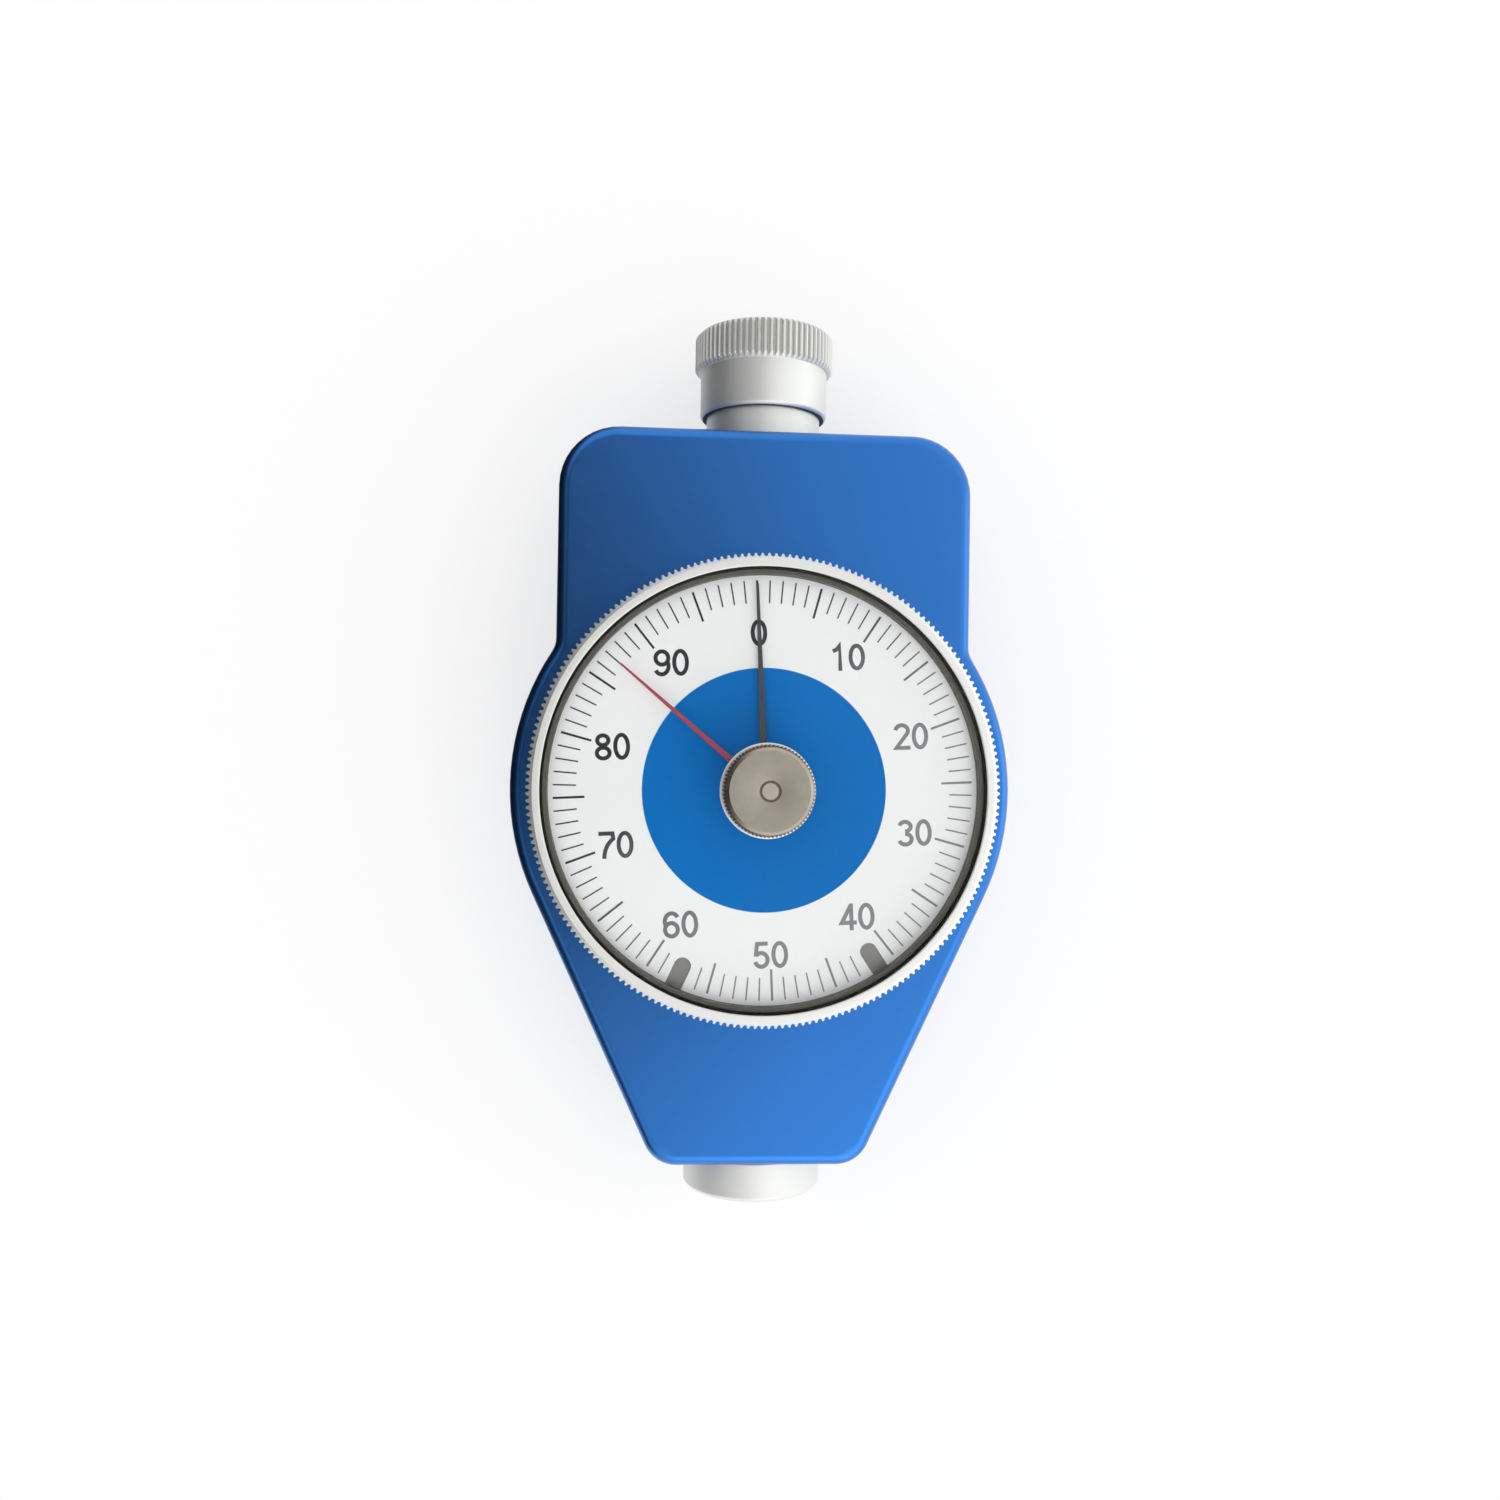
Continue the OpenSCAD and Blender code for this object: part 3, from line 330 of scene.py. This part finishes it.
def machined_metal(name, first, second, low, high):
    """Machined metal of the movement and the screws: clean, with fine tool marks and a slight
    change of tone."""
    material, tree, shader, place = start_material(name, Metallic=1.0)
    marks = add(tree, "ShaderNodeTexNoise", {"Vector": place, "Scale": spacing(0.5), "Detail": 4.0})
    tone = add(tree, "ShaderNodeMix", {0: marks.outputs["Fac"], 6: linear(first), 7: linear(second)},
               data_type="RGBA")
    sheen = add(tree, "ShaderNodeMapRange", {"Value": marks.outputs["Fac"], "To Min": low, "To Max": high})
    cuts = add(tree, "ShaderNodeBump", {"Height": marks.outputs["Fac"], "Distance": 0.002 * MM})
    feed(tree, shader, Base_Color=tone.outputs[2], Roughness=sheen.outputs["Result"],
         Normal=cuts.outputs["Normal"])
    return material


def moulded_rubber():
    """Moulded nitrile rubber of the cap's seal: black and matt, with a fine skin."""
    material, tree, shader, place = start_material("moulded_rubber", IOR=1.52)
    skin = add(tree, "ShaderNodeTexNoise", {"Vector": place, "Scale": spacing(0.4), "Detail": 4.0})
    black = add(tree, "ShaderNodeMix", {0: skin.outputs["Fac"], 6: linear("#161616"), 7: linear("#222222")},
                data_type="RGBA")
    sheen = add(tree, "ShaderNodeMapRange", {"Value": skin.outputs["Fac"], "To Min": 0.6, "To Max": 0.8})
    relief = add(tree, "ShaderNodeBump", {"Height": skin.outputs["Fac"], "Distance": 0.006 * MM})
    feed(tree, shader, Base_Color=black.outputs[2], Roughness=sheen.outputs["Result"],
         Normal=relief.outputs["Normal"])
    return material


ENAMEL = metallic_enamel()
RING_ALUMINIUM = turned_aluminium("blasted_aluminium_ring", "radius", "#fafaf6", 0.85, 0.42, 0.62)
ROD_ALUMINIUM = turned_aluminium("blasted_aluminium_rod", "length", "#ecede9", 0.9, 0.46, 0.62)
FOOT_ALUMINIUM = turned_aluminium("blasted_aluminium_foot", "length", "#e9eae6", 0.65, 0.5, 0.66)
# Painted shade: darker copies of the aluminium for the cap's groove floors and its underside
GROOVE_SHADE_ALUMINIUM = turned_aluminium("aluminium_groove_painted_shade", "length", "#c6c7c2", 0.8, 0.5, 0.7)
SHADED_ALUMINIUM = turned_aluminium("aluminium_underside_painted_shade", "length", "#5a5b62", 0.8, 0.6, 0.8)
# Painted shade: a darker grey aluminium for the dial carrier, seen in the dial's notches
NOTCH_SHADE_ALUMINIUM = turned_aluminium("aluminium_carrier_painted_shade", "radius", "#8f8f8a", 0.8, 0.5, 0.7)
NICKEL = brushed_nickel("brushed_nickel", "#b6ada0", "#c5bdb0", 0.3, 0.52)
# Painted highlight: a paler nickel for the knob's flange
FLANGE_HIGHLIGHT_NICKEL = brushed_nickel("nickel_flange_painted_highlight", "#f0ece6", "#f8f5f0", 0.3, 0.45, 0.5)
RIVET_NICKEL = brushed_nickel("polished_nickel_rivet", "#d3cbbe", "#dfd8cc", 0.25, 0.4)
# Painted shade: a darker, browner nickel for the knob's knurl and dish
KNURL_SHADE_NICKEL = brushed_nickel("nickel_knurl_painted_shade", "#6f6252", "#a3937f", 0.35, 0.55)
DIAL_WHITE = dial_print("white_dial_lacquer", "#f4f4f3", "#f7f7f6", 0.5)
DIAL_BLUE = dial_print("blue_dial_ink", "#006ebe", "#0071c1", 0.55)
# Ink of the scale, with a painted reflection that greys it toward the lower right
INK_WITH_GLARE = scale_ink()
POINTER_BLACK = pointer_lacquer("black_pointer_lacquer", "#1a1d20", "#24282c")
POINTER_RED = pointer_lacquer("red_pointer_lacquer", "#a01838", "#ac2242")
BLACK_RING = black_anodised()
ACRYLIC = cast_acrylic()
BRASS = machined_metal("lacquered_brass", "#b98f45", "#cda558", 0.28, 0.42)
STEEL = machined_metal("ground_steel", "#a9abae", "#bfc1c4", 0.22, 0.38)
RUBBER = moulded_rubber()


def new_piece(name, mesh, body, slot, *nodes):
    """Puts a mesh in the scene as a piece that rides on a body and stands for its CAD nodes."""
    piece = bpy.data.objects.new(name, mesh)
    scene.collection.objects.link(piece)
    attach(piece, body)
    if nodes:
        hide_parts(*nodes)
    return piece


def settle(mesh, shapes, materials, sharp=SHARP):
    """Writes a bmesh to a mesh with outward faces, smooth but for edges sharper than an angle."""
    bmesh.ops.remove_doubles(shapes, verts=shapes.verts, dist=WELD)
    bmesh.ops.recalc_face_normals(shapes, faces=shapes.faces)
    for face in shapes.faces:
        face.smooth = True
    for edge in shapes.edges:
        edge.smooth = edge.calc_face_angle(0.0) < math.radians(sharp)
    shapes.to_mesh(mesh)
    shapes.free()
    for material in materials:
        mesh.materials.append(material)
    return mesh


def copied(node, materials, choose=None):
    """The CAD node's own form as a clean mesh, with a material chosen for each face."""
    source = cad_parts[node].data
    shapes = bmesh.new()
    corners = [shapes.verts.new(v.co) for v in source.vertices]
    for polygon in source.polygons:
        face = shapes.faces.new([corners[i] for i in polygon.vertices])
        if choose:
            face.material_index = choose(polygon.center)
    return settle(bpy.data.meshes.new(node), shapes, materials)


def even_shading(piece):
    """Keeps large flat faces flat next to small roundings."""
    even = piece.modifiers.new("even_shading", "WEIGHTED_NORMAL")
    even.keep_sharp = True
    even.weight = 100


def soften(piece, width_mm, segments=2, angle=40.0):
    """Breaks the sharp edges by a small width, as tumbling or a file does."""
    bevel = piece.modifiers.new("broken_edges", "BEVEL")
    bevel.width = width_mm * MM
    bevel.segments = segments
    bevel.limit_method = "ANGLE"
    bevel.angle_limit = math.radians(angle)


def on_dial(radius, angle, height):
    """A point round the dial's axis, from millimetres."""
    return Vector((radius * math.cos(angle), radius * math.sin(angle), height)) * MM


def on_spindle(radius, angle, height):
    """A point round the spindle's axis, from millimetres."""
    return Vector((radius * math.cos(angle) * MM, height * MM, SPINDLE_Z + radius * math.sin(angle) * MM))


def turned(name, rows, count, place, materials, finish=None):
    """A turned ring: each row gives a height and a radius, which a knurl may change round the axis.
    The last row joins the first. The finish is chosen from the row and the step round the axis."""
    shapes = bmesh.new()
    loops = []
    for height, radius in rows:
        reach = radius if callable(radius) else (lambda i, r=radius: r)
        points = [place(reach(i), math.tau * i / count, height) for i in range(count)]
        loops.append([shapes.verts.new(point) for point in points])
    for k, low in enumerate(loops):
        high = loops[(k + 1) % len(loops)]
        for i in range(count):
            j = (i + 1) % count
            face = shapes.faces.new((low[i], low[j], high[j], high[i]))
            if finish:
                face.material_index = finish(k, i)
    return settle(bpy.data.meshes.new(name), shapes, materials, TURNED_SHARP)


def toothed(tip, depth, marks):
    """Radius round a straight knurl, as a function of the limit that a chamfer sets."""
    def limited(limit):
        return lambda i: min(limit, tip - depth * marks[i % len(marks)])
    return limited


def rounded(h0, r0, h1, r1, h2, r2, steps=4):
    """Rows that round a corner from one point to another, past the corner point between them."""
    rows = []
    for k in range(steps + 1):
        t = k / steps
        a, b, c = (1 - t) ** 2, 2 * t * (1 - t), t ** 2
        rows.append((a * h0 + b * h1 + c * h2, a * r0 + b * r1 + c * r2))
    return rows


def in_mm(node):
    """A node's lowest and highest corners in millimetres."""
    low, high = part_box(node)
    return low / MM, high / MM


# Body: housing and rear cover in enamel, with the parting line between them
housing = new_piece("housing_shell", copied("housing", [ENAMEL]), "body", "body_paint", "housing")
soften(housing, BODY_EDGE, angle=50.0)
even_shading(housing)
cover = new_piece("rear_cover_plate", copied("rear_cover", [ENAMEL]), "body", "body_paint", "rear_cover")
even_shading(cover)
screws = new_piece("cover_screws", copied("rear_cover_screws", [STEEL]), "body", "spring_steel",
                   "rear_cover_screws")
soften(screws, SCREW_EDGE)
even_shading(screws)

# Foot and neck
foot = new_piece("foot", copied("presser_foot", [FOOT_ALUMINIUM]), "body", "satin_aluminium",
                 "presser_foot")
soften(foot, FOOT_EDGE, segments=3)
even_shading(foot)
neck = new_piece("neck", copied("spring_barrel", [ROD_ALUMINIUM]), "body", "satin_aluminium",
                 "spring_barrel")
soften(neck, NECK_EDGE)
even_shading(neck)

# Bezel: knurled ring with a flat front
bezel_low, bezel_high = in_mm("bezel")
bezel_r = bezel_high.x
lip_r = bezel_r - LIP_W
bore_r = bezel_r - BEZEL_WALL
front = bezel_high.z
bezel_tooth = toothed(bezel_r, BEZEL_KNURL, BEZEL_MARKS)
rows = [(bezel_low.z, bezel_tooth(bezel_r - BEZEL_FOOT)), (bezel_low.z + BEZEL_FOOT, bezel_tooth(bezel_r))]
for k in range(CHAMFER_STEPS + 1):
    inset = BEZEL_CHAMFER * k / CHAMFER_STEPS
    rows.append((front - BEZEL_CHAMFER + inset, bezel_tooth(bezel_r - inset)))
rows += rounded(front, lip_r + LIP_EDGE, front, lip_r, front - LIP_EDGE, lip_r)
rows += [(front - LIP_T, lip_r), (front - LIP_T, bore_r), (bezel_low.z, bore_r)]
bezel_mesh = turned("bezel_ring", rows, BEZEL_TEETH * len(BEZEL_MARKS), on_dial, [RING_ALUMINIUM])
new_piece("bezel_ring", bezel_mesh, "bezel", "satin_aluminium", "bezel")

# Crystal, spacer ring and dial
crystal = new_piece("crystal_dome", copied("crystal", [ACRYLIC]), "bezel", "clear_crystal", "crystal")
even_shading(crystal)
new_piece("spacer", copied("spacer_ring", [BLACK_RING]), "bezel", "black_ring", "spacer_ring")
dial_face = in_mm("dial_plate")[1].z - PRINT_H


def dial_ink(centre):
    """White below the print's height, blue inside the disc, ink on the raised lines."""
    if centre.z < (dial_face + PRINT_H / 3) * MM:
        return 0
    return 1 if math.hypot(centre.x, centre.y) < (DISC_R + DISC_MARGIN) * MM else 2


dial_mesh = copied("dial_plate", [DIAL_WHITE, DIAL_BLUE, INK_WITH_GLARE], dial_ink)
new_piece("dial", dial_mesh, "bezel", "dial_lacquer", "dial_plate")


def bow(x, y, width, height, start, end, steps=16):
    """Points along part of an oval, from one angle in degrees to another."""
    turns = [math.radians(start + (end - start) * k / steps) for k in range(steps + 1)]
    return [(x + width * math.cos(t), y + height * math.sin(t)) for t in turns]


# Pen strokes of the plain sans-serif digits, in a box of height 1
HALF = DIGIT_STROKE / 2
MID = DIGIT_W / 2
TOP = 1 - HALF
SIDE = DIGIT_W - HALF
LOOP = MID - HALF
DIGITS = {
    "0": [bow(MID, 0.5, LOOP, 0.5 - HALF, 0, 360, 40)],
    "1": [[(0.1, 0.74), (0.26, 0.81), (0.36, 0.96), (0.36, 0.0)]],
    "2": [bow(MID, 0.715, LOOP, 0.285 - HALF, 172, -38, 20) + [(HALF + 0.01, HALF), (DIGIT_W, HALF)]],
    "3": [bow(MID - 0.01, 0.745, LOOP - 0.02, 0.255 - HALF, 165, -90, 22),
          bow(MID - 0.01, 0.275, LOOP, 0.275 - HALF, 90, -165, 24)],
    "4": [[(0.43, 0.0), (0.43, 1.0)], [(0.43, 0.95), (0.06, 0.285), (0.63, 0.285)]],
    "5": [[(0.56, TOP), (0.16, TOP), (0.1, 0.46)],
          bow(MID - 0.01, 0.33, LOOP, 0.33 - HALF, 142, -165, 26)],
    "6": [bow(MID, 0.32, LOOP, 0.32 - HALF, 0, 360, 36),
          bow(MID + 0.02, 0.62, LOOP + 0.02, 0.38 - HALF, 30, 205, 22)],
    "7": [[(0.03, TOP), (SIDE, TOP)] + bow(0.96, 0.0, 0.74, 0.86, 122, 180, 12)],
    "8": [bow(MID, 0.745, LOOP - 0.03, 0.255 - HALF, 0, 360, 32),
          bow(MID, 0.275, LOOP, 0.275 - HALF, 0, 360, 32)],
    "9": [bow(MID, 0.68, LOOP, 0.32 - HALF, 0, 360, 36),
          bow(MID - 0.02, 0.38, LOOP + 0.02, 0.38 - HALF, 210, 385, 22)],
}


def pen_stroke(shapes, points, spot):
    """A flat stroke along a line of points; one that ends where it starts becomes a loop."""
    path = [Vector(p) for p in points]
    loop = (path[0] - path[-1]).length < CLOSED
    if loop:
        path.pop()
    count = len(path)
    rails = []
    for i, point in enumerate(path):
        before = point - path[i - 1] if loop or i else path[1] - point
        after = path[(i + 1) % count] - point if loop or i < count - 1 else before
        along = (before.normalized() + after.normalized()).normalized()
        side = Vector((-along.y, along.x)) * HALF / max(MITRE_LIMIT, along.dot(before.normalized()))
        rails.append((shapes.verts.new(spot(point + side)), shapes.verts.new(spot(point - side))))
    for i in range(count if loop else count - 1):
        here, there = rails[i], rails[(i + 1) % count]
        shapes.faces.new((here[0], here[1], there[1], there[0]))


def numeral(reading):
    """The scale's number as flat print on the dial, upright when zero is at the top."""
    angle = math.tau * reading / SCALE_UNITS
    if reading in LEANING:
        angle -= math.radians(NUMERAL_LEAN) * math.copysign(1, math.sin(2 * angle))
    radius = NUMERAL_LOW_R if reading == LOWEST else NUMERAL_R
    middle = Vector((math.sin(angle), math.cos(angle))) * radius
    spin = Matrix.Rotation(math.radians(DIAL_TURN), 3, "Z")
    digits = str(reading)
    start = -(DIGIT_STEP * (len(digits) - 1) + DIGIT_W) / 2
    shapes = bmesh.new()
    for k, digit in enumerate(digits):
        for layer, points in enumerate(DIGITS[digit]):
            def spot(p, shift=start + DIGIT_STEP * k, height=dial_face + INK_H + STROKE_STEP * layer):
                flat = Vector((p.x + shift, p.y - 0.5)) * NUMERAL_H + middle
                return spin @ Vector((flat.x, flat.y, height)) * MM
            pen_stroke(shapes, points, spot)
    sheet = bmesh.ops.extrude_face_region(shapes, geom=list(shapes.faces))
    lower = [v for v in sheet["geom"] if isinstance(v, bmesh.types.BMVert)]
    bmesh.ops.translate(shapes, verts=lower, vec=(0, 0, -INK_H * MM))
    mesh = settle(bpy.data.meshes.new(f"numeral_{reading}"), shapes, [INK_WITH_GLARE])
    new_piece(f"numeral_{reading}", mesh, "bezel", "dial_lacquer")


for reading in range(0, SCALE_UNITS, NUMERAL_STEP):
    numeral(reading)

# Pointers, with filed edges
pointer = new_piece("black_pointer", copied("main_pointer", [POINTER_BLACK]), "pointer", "pointer_black",
                    "main_pointer")
soften(pointer, POINTER_EDGE)
peak = new_piece("red_pointer", copied("peak_pointer", [POINTER_RED]), "peak_hand", "pointer_red",
                 "peak_pointer")
soften(peak, POINTER_EDGE)

# Reset knob: flange, knurl, dished top and the riveted end of its shaft
knob_low, knob_high = in_mm("reset_knob")
flange_r = knob_high.x
flange_z = knob_low.z + KNOB_FLANGE_H
top = knob_high.z
knob_tooth = toothed(KNOB_R, KNOB_KNURL, KNOB_MARKS)
rows = [(knob_low.z, KNOB_BORE_R)]
rows += rounded(knob_low.z, flange_r - KNOB_FOOT_EDGE, knob_low.z, flange_r,
                knob_low.z + KNOB_FOOT_EDGE, flange_r)
rows += rounded(flange_z - KNOB_FLANGE_EDGE, flange_r, flange_z, flange_r,
                flange_z, flange_r - KNOB_FLANGE_EDGE)
knurl_start = len(rows)
rows.append((flange_z, knob_tooth(KNOB_R)))
chamfer_start = len(rows) + CHAMFER_STEPS // 2
for k in range(CHAMFER_STEPS + 1):
    inset = KNOB_CHAMFER * k / CHAMFER_STEPS
    rows.append((top - KNOB_CHAMFER + inset, knob_tooth(KNOB_R - inset)))
rows += rounded(top, KNOB_DISH_R + KNOB_DISH_EDGE, top, KNOB_DISH_R, top - KNOB_DISH_EDGE, KNOB_DISH_R)
dish_start = len(rows) - 1
rows += [(top - KNOB_DISH_H, KNOB_DISH_R), (top - KNOB_DISH_H, KNOB_BORE_R)]
dish_end = len(rows) - 1


def knob_finish(k, i):
    """Painted shade in the knurl and in the dish, and a painted highlight on the flange."""
    if k < knurl_start:
        return 2
    return 1 if k < chamfer_start or dish_start <= k < dish_end else 0


knob_mesh = turned("knob", rows, KNOB_TEETH * len(KNOB_MARKS), on_dial,
                   [NICKEL, KNURL_SHADE_NICKEL, FLANGE_HIGHLIGHT_NICKEL], knob_finish)
new_piece("knob", knob_mesh, "peak_hand", "nickel_plate", "reset_knob")
rivet = new_piece("knob_rivet", copied("knob_shaft", [RIVET_NICKEL]), "peak_hand", "nickel_plate",
                  "knob_shaft")
soften(rivet, RIVET_EDGE, segments=3)

# Cap: plain collar and grooved rim
cap_low, cap_high = in_mm("top_cap")
rim_r = cap_high.x
rim_tooth = toothed(rim_r, CAP_KNURL, CAP_MARKS)
collar_top = cap_low.y + COLLAR_H
roof = cap_high.y - CAP_ROOF_T
rows = [(cap_low.y + CAP_LEDGE_H, COLLAR_BORE_R), (cap_low.y, COLLAR_BORE_R)]
rows += rounded(cap_low.y, COLLAR_R - COLLAR_EDGE,
                cap_low.y + COLLAR_CORNER_H, COLLAR_R - COLLAR_CORNER_W,
                cap_low.y + COLLAR_EDGE, COLLAR_R)
rows += rounded(collar_top - COLLAR_FILLET, COLLAR_R, collar_top, COLLAR_R,
                collar_top, COLLAR_R + COLLAR_FILLET)
groove_start = len(rows)
for k in range(EDGE_STEPS + 1):
    inset = CAP_EDGE * (1 - k / EDGE_STEPS)
    rows.append((collar_top + CAP_EDGE - inset, rim_tooth(rim_r - inset)))
for k in range(EDGE_STEPS + 1):
    inset = CAP_EDGE * k / EDGE_STEPS
    rows.append((cap_high.y - CAP_EDGE + inset, rim_tooth(rim_r - inset)))
groove_end = len(rows) - 1
rows += [(cap_high.y, CAP_CENTRE_R), (roof, CAP_CENTRE_R),
         (roof, CAP_THREAD_R), (cap_low.y + CAP_LEDGE_H, CAP_THREAD_R)]


def cap_finish(k, i):
    """Painted shade on the groove floors in the rim and on the underside."""
    if k < SHADED_UNDER_ROWS:
        return 2
    depth = (CAP_MARKS[i % len(CAP_MARKS)] + CAP_MARKS[(i + 1) % len(CAP_MARKS)]) / 2
    return 1 if groove_start <= k < groove_end and depth > GROOVE_FLOOR else 0


cap_mesh = turned("cap", rows, CAP_GROOVES * len(CAP_MARKS), on_spindle,
                  [ROD_ALUMINIUM, GROOVE_SHADE_ALUMINIUM, SHADED_ALUMINIUM], cap_finish)
new_piece("cap", cap_mesh, "cap", "satin_aluminium", "top_cap")

# CAD nodes that show their own form, each in the finish of the real piece; the dial carrier's darker grey
# is painted shade in the dial's notches
OWN_FINISH = {
    "spring_adjuster": BRASS, "main_spring": STEEL, "front_plate": BRASS, "middle_plate": BRASS,
    "rear_bridge": BRASS, "plate_pillars": BRASS, "plate_screws": STEEL, "guide_block": BRASS,
    "hairspring": STEEL, "hairspring_stud": BRASS, "bezel_wire": STEEL, "spindle": STEEL,
    "indenter": STEEL, "spring_seat": BRASS, "guide_pin": STEEL, "idler_arbor": STEEL,
    "idler_wheel": BRASS, "centre_arbor": STEEL, "hairspring_collet": BRASS, "pointer_hub": BRASS,
    "dial_carrier": NOTCH_SHADE_ALUMINIUM, "crystal_bush": NICKEL, "peak_hub": BRASS,
    "friction_washer": STEEL, "cap_seal": RUBBER,
}
for name, material in OWN_FINISH.items():
    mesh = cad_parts[name].data
    mesh.materials.clear()
    mesh.materials.append(material)


def disc_mesh(name, segments):
    """A flat disc of radius 1."""
    mesh = bpy.data.meshes.new(name)
    shapes = bmesh.new()
    bmesh.ops.create_circle(shapes, cap_ends=True, radius=1.0, segments=segments)
    shapes.to_mesh(mesh)
    shapes.free()
    return mesh


def place_stage(name, mesh, place_m, turn, size):
    """Puts a piece of the studio in the scene, which isn't part of the object."""
    prop = bpy.data.objects.new(name, mesh)
    prop.location = place_m
    prop.rotation_euler = turn
    prop.scale = (size[0], size[1], 1.0)
    scene.collection.objects.link(prop)
    return prop


def white_paper():
    """White paper of the table: matt, with a faint fibre. Seen directly, mirrored or through the crystal,
    it is mostly plain white, so that it keeps only a soft shadow."""
    material, tree, shader, place = start_material("white_table_paper", Roughness=0.9, IOR=1.5)
    fibre = add(tree, "ShaderNodeTexNoise", {"Vector": place, "Scale": spacing(1.5) * TABLE_R,
                                             "Detail": 3.0})
    pulp = add(tree, "ShaderNodeMix", {0: fibre.outputs["Fac"], 6: linear("#f4f4f4"), 7: linear("#f7f7f7")},
               data_type="RGBA")
    feed(tree, shader, Base_Color=pulp.outputs[2])
    path = add(tree, "ShaderNodeLightPath")
    mirrored = add(tree, "ShaderNodeMath", {0: path.outputs["Is Camera Ray"],
                                            1: path.outputs["Is Glossy Ray"]}, operation="MAXIMUM")
    shown = add(tree, "ShaderNodeMath", {0: mirrored.outputs[0], 1: path.outputs["Is Transmission Ray"]},
                operation="MAXIMUM")
    share = add(tree, "ShaderNodeMath", {0: shown.outputs[0], 1: TABLE_WHITE}, operation="MULTIPLY")
    white = add(tree, "ShaderNodeEmission", {"Strength": 1.0})
    seen = add(tree, "ShaderNodeMixShader", {0: share.outputs[0], 1: shader.outputs[0],
                                             2: white.outputs[0]})
    tree.links.new(seen.outputs[0], tree.nodes["Material Output"].inputs["Surface"])
    return material


# Table
table_mesh = disc_mesh("table", TABLE_SIDES)
table_mesh.materials.append(white_paper())
place_stage("table", table_mesh, (0, 0, -TABLE_GAP), (0, 0, 0), (TABLE_R, TABLE_R))


def flag(name, place_m, turn, size, hard):
    """A card of black felt that only shiny surfaces see, and that gives them their dark side.
    It is dense out to a share of its radius, and from there fades to its edge."""
    felt, tree, shader, place = start_material(
        "black_felt_" + name, Base_Color=linear("#060606"), Roughness=0.9)
    reach = add(tree, "ShaderNodeVectorMath", {0: place}, operation="LENGTH")
    edge = add(tree, "ShaderNodeMapRange", {"Value": reach.outputs["Value"], "From Min": hard},
               interpolation_type="SMOOTHSTEP")
    clear = add(tree, "ShaderNodeBsdfTransparent")
    faded = add(tree, "ShaderNodeMixShader", {0: edge.outputs["Result"], 1: shader.outputs[0],
                                              2: clear.outputs[0]})
    tree.links.new(faded.outputs[0], tree.nodes["Material Output"].inputs["Surface"])
    mesh = disc_mesh(name, FLAG_SIDES)
    mesh.materials.append(felt)
    card = place_stage(name, mesh, place_m, turn, size)
    card.visible_camera = False
    card.visible_diffuse = False
    card.visible_transmission = False
    card.visible_shadow = False


# Flags above, on the left and on the table
flag("flag_overhead", place_m=(-0.18, 0.04, 0.45), turn=(0, 0, 0), size=(0.31, 0.34), hard=0.4)
flag("flag_left", place_m=(-0.35, 0.0, 0.05), turn=(0, math.radians(90), 0), size=(0.38, 0.8), hard=0.65)
flag("flag_table_left", place_m=(-0.3, 0.1, 0.0008), turn=(0, 0, 0), size=(0.3, 0.32), hard=0.87)

# White tent
world = bpy.data.worlds.new("white_tent")
scene.world = world
world.use_nodes = True
backdrop = world.node_tree.nodes["Background"]
backdrop.inputs["Color"].default_value = linear("#ffffff")
backdrop.inputs["Strength"].default_value = TENT_LIGHT


def softbox(name, place_m, size_m, watts):
    """A round soft lamp that faces the object."""
    light = bpy.data.lights.new(name, "AREA")
    light.shape = "DISK"
    light.size = size_m
    light.energy = watts
    lamp = bpy.data.objects.new(name, light)
    lamp.location = place_m
    lamp.rotation_euler = (-lamp.location).to_track_quat("-Z", "Y").to_euler()
    scene.collection.objects.link(lamp)


# Soft lamps in front and on the right
softbox("softbox_front", place_m=(0.3, -0.55, 0.5), size_m=0.8, watts=1.4)
softbox("softbox_right", place_m=(0.6, 0.0, 0.14), size_m=0.4, watts=0.35)

# Camera
lens = bpy.data.cameras.new("camera")
lens.lens = CAMERA_LENS
lens.sensor_width = CAMERA_SENSOR
lens.clip_start = CAMERA_NEAR * MM
camera = bpy.data.objects.new("camera", lens)
yaw = Matrix.Rotation(math.radians(CAMERA_YAW), 4, "Y")
pitch = Matrix.Rotation(math.radians(CAMERA_PITCH), 4, "X")
roll = Matrix.Rotation(math.radians(CAMERA_ROLL), 4, "Z")
camera.matrix_world = Matrix.Translation(Vector(CAMERA_PLACE) * MM) @ yaw @ pitch @ roll
scene.collection.objects.link(camera)
scene.camera = camera
scene.view_settings.view_transform = "Standard"
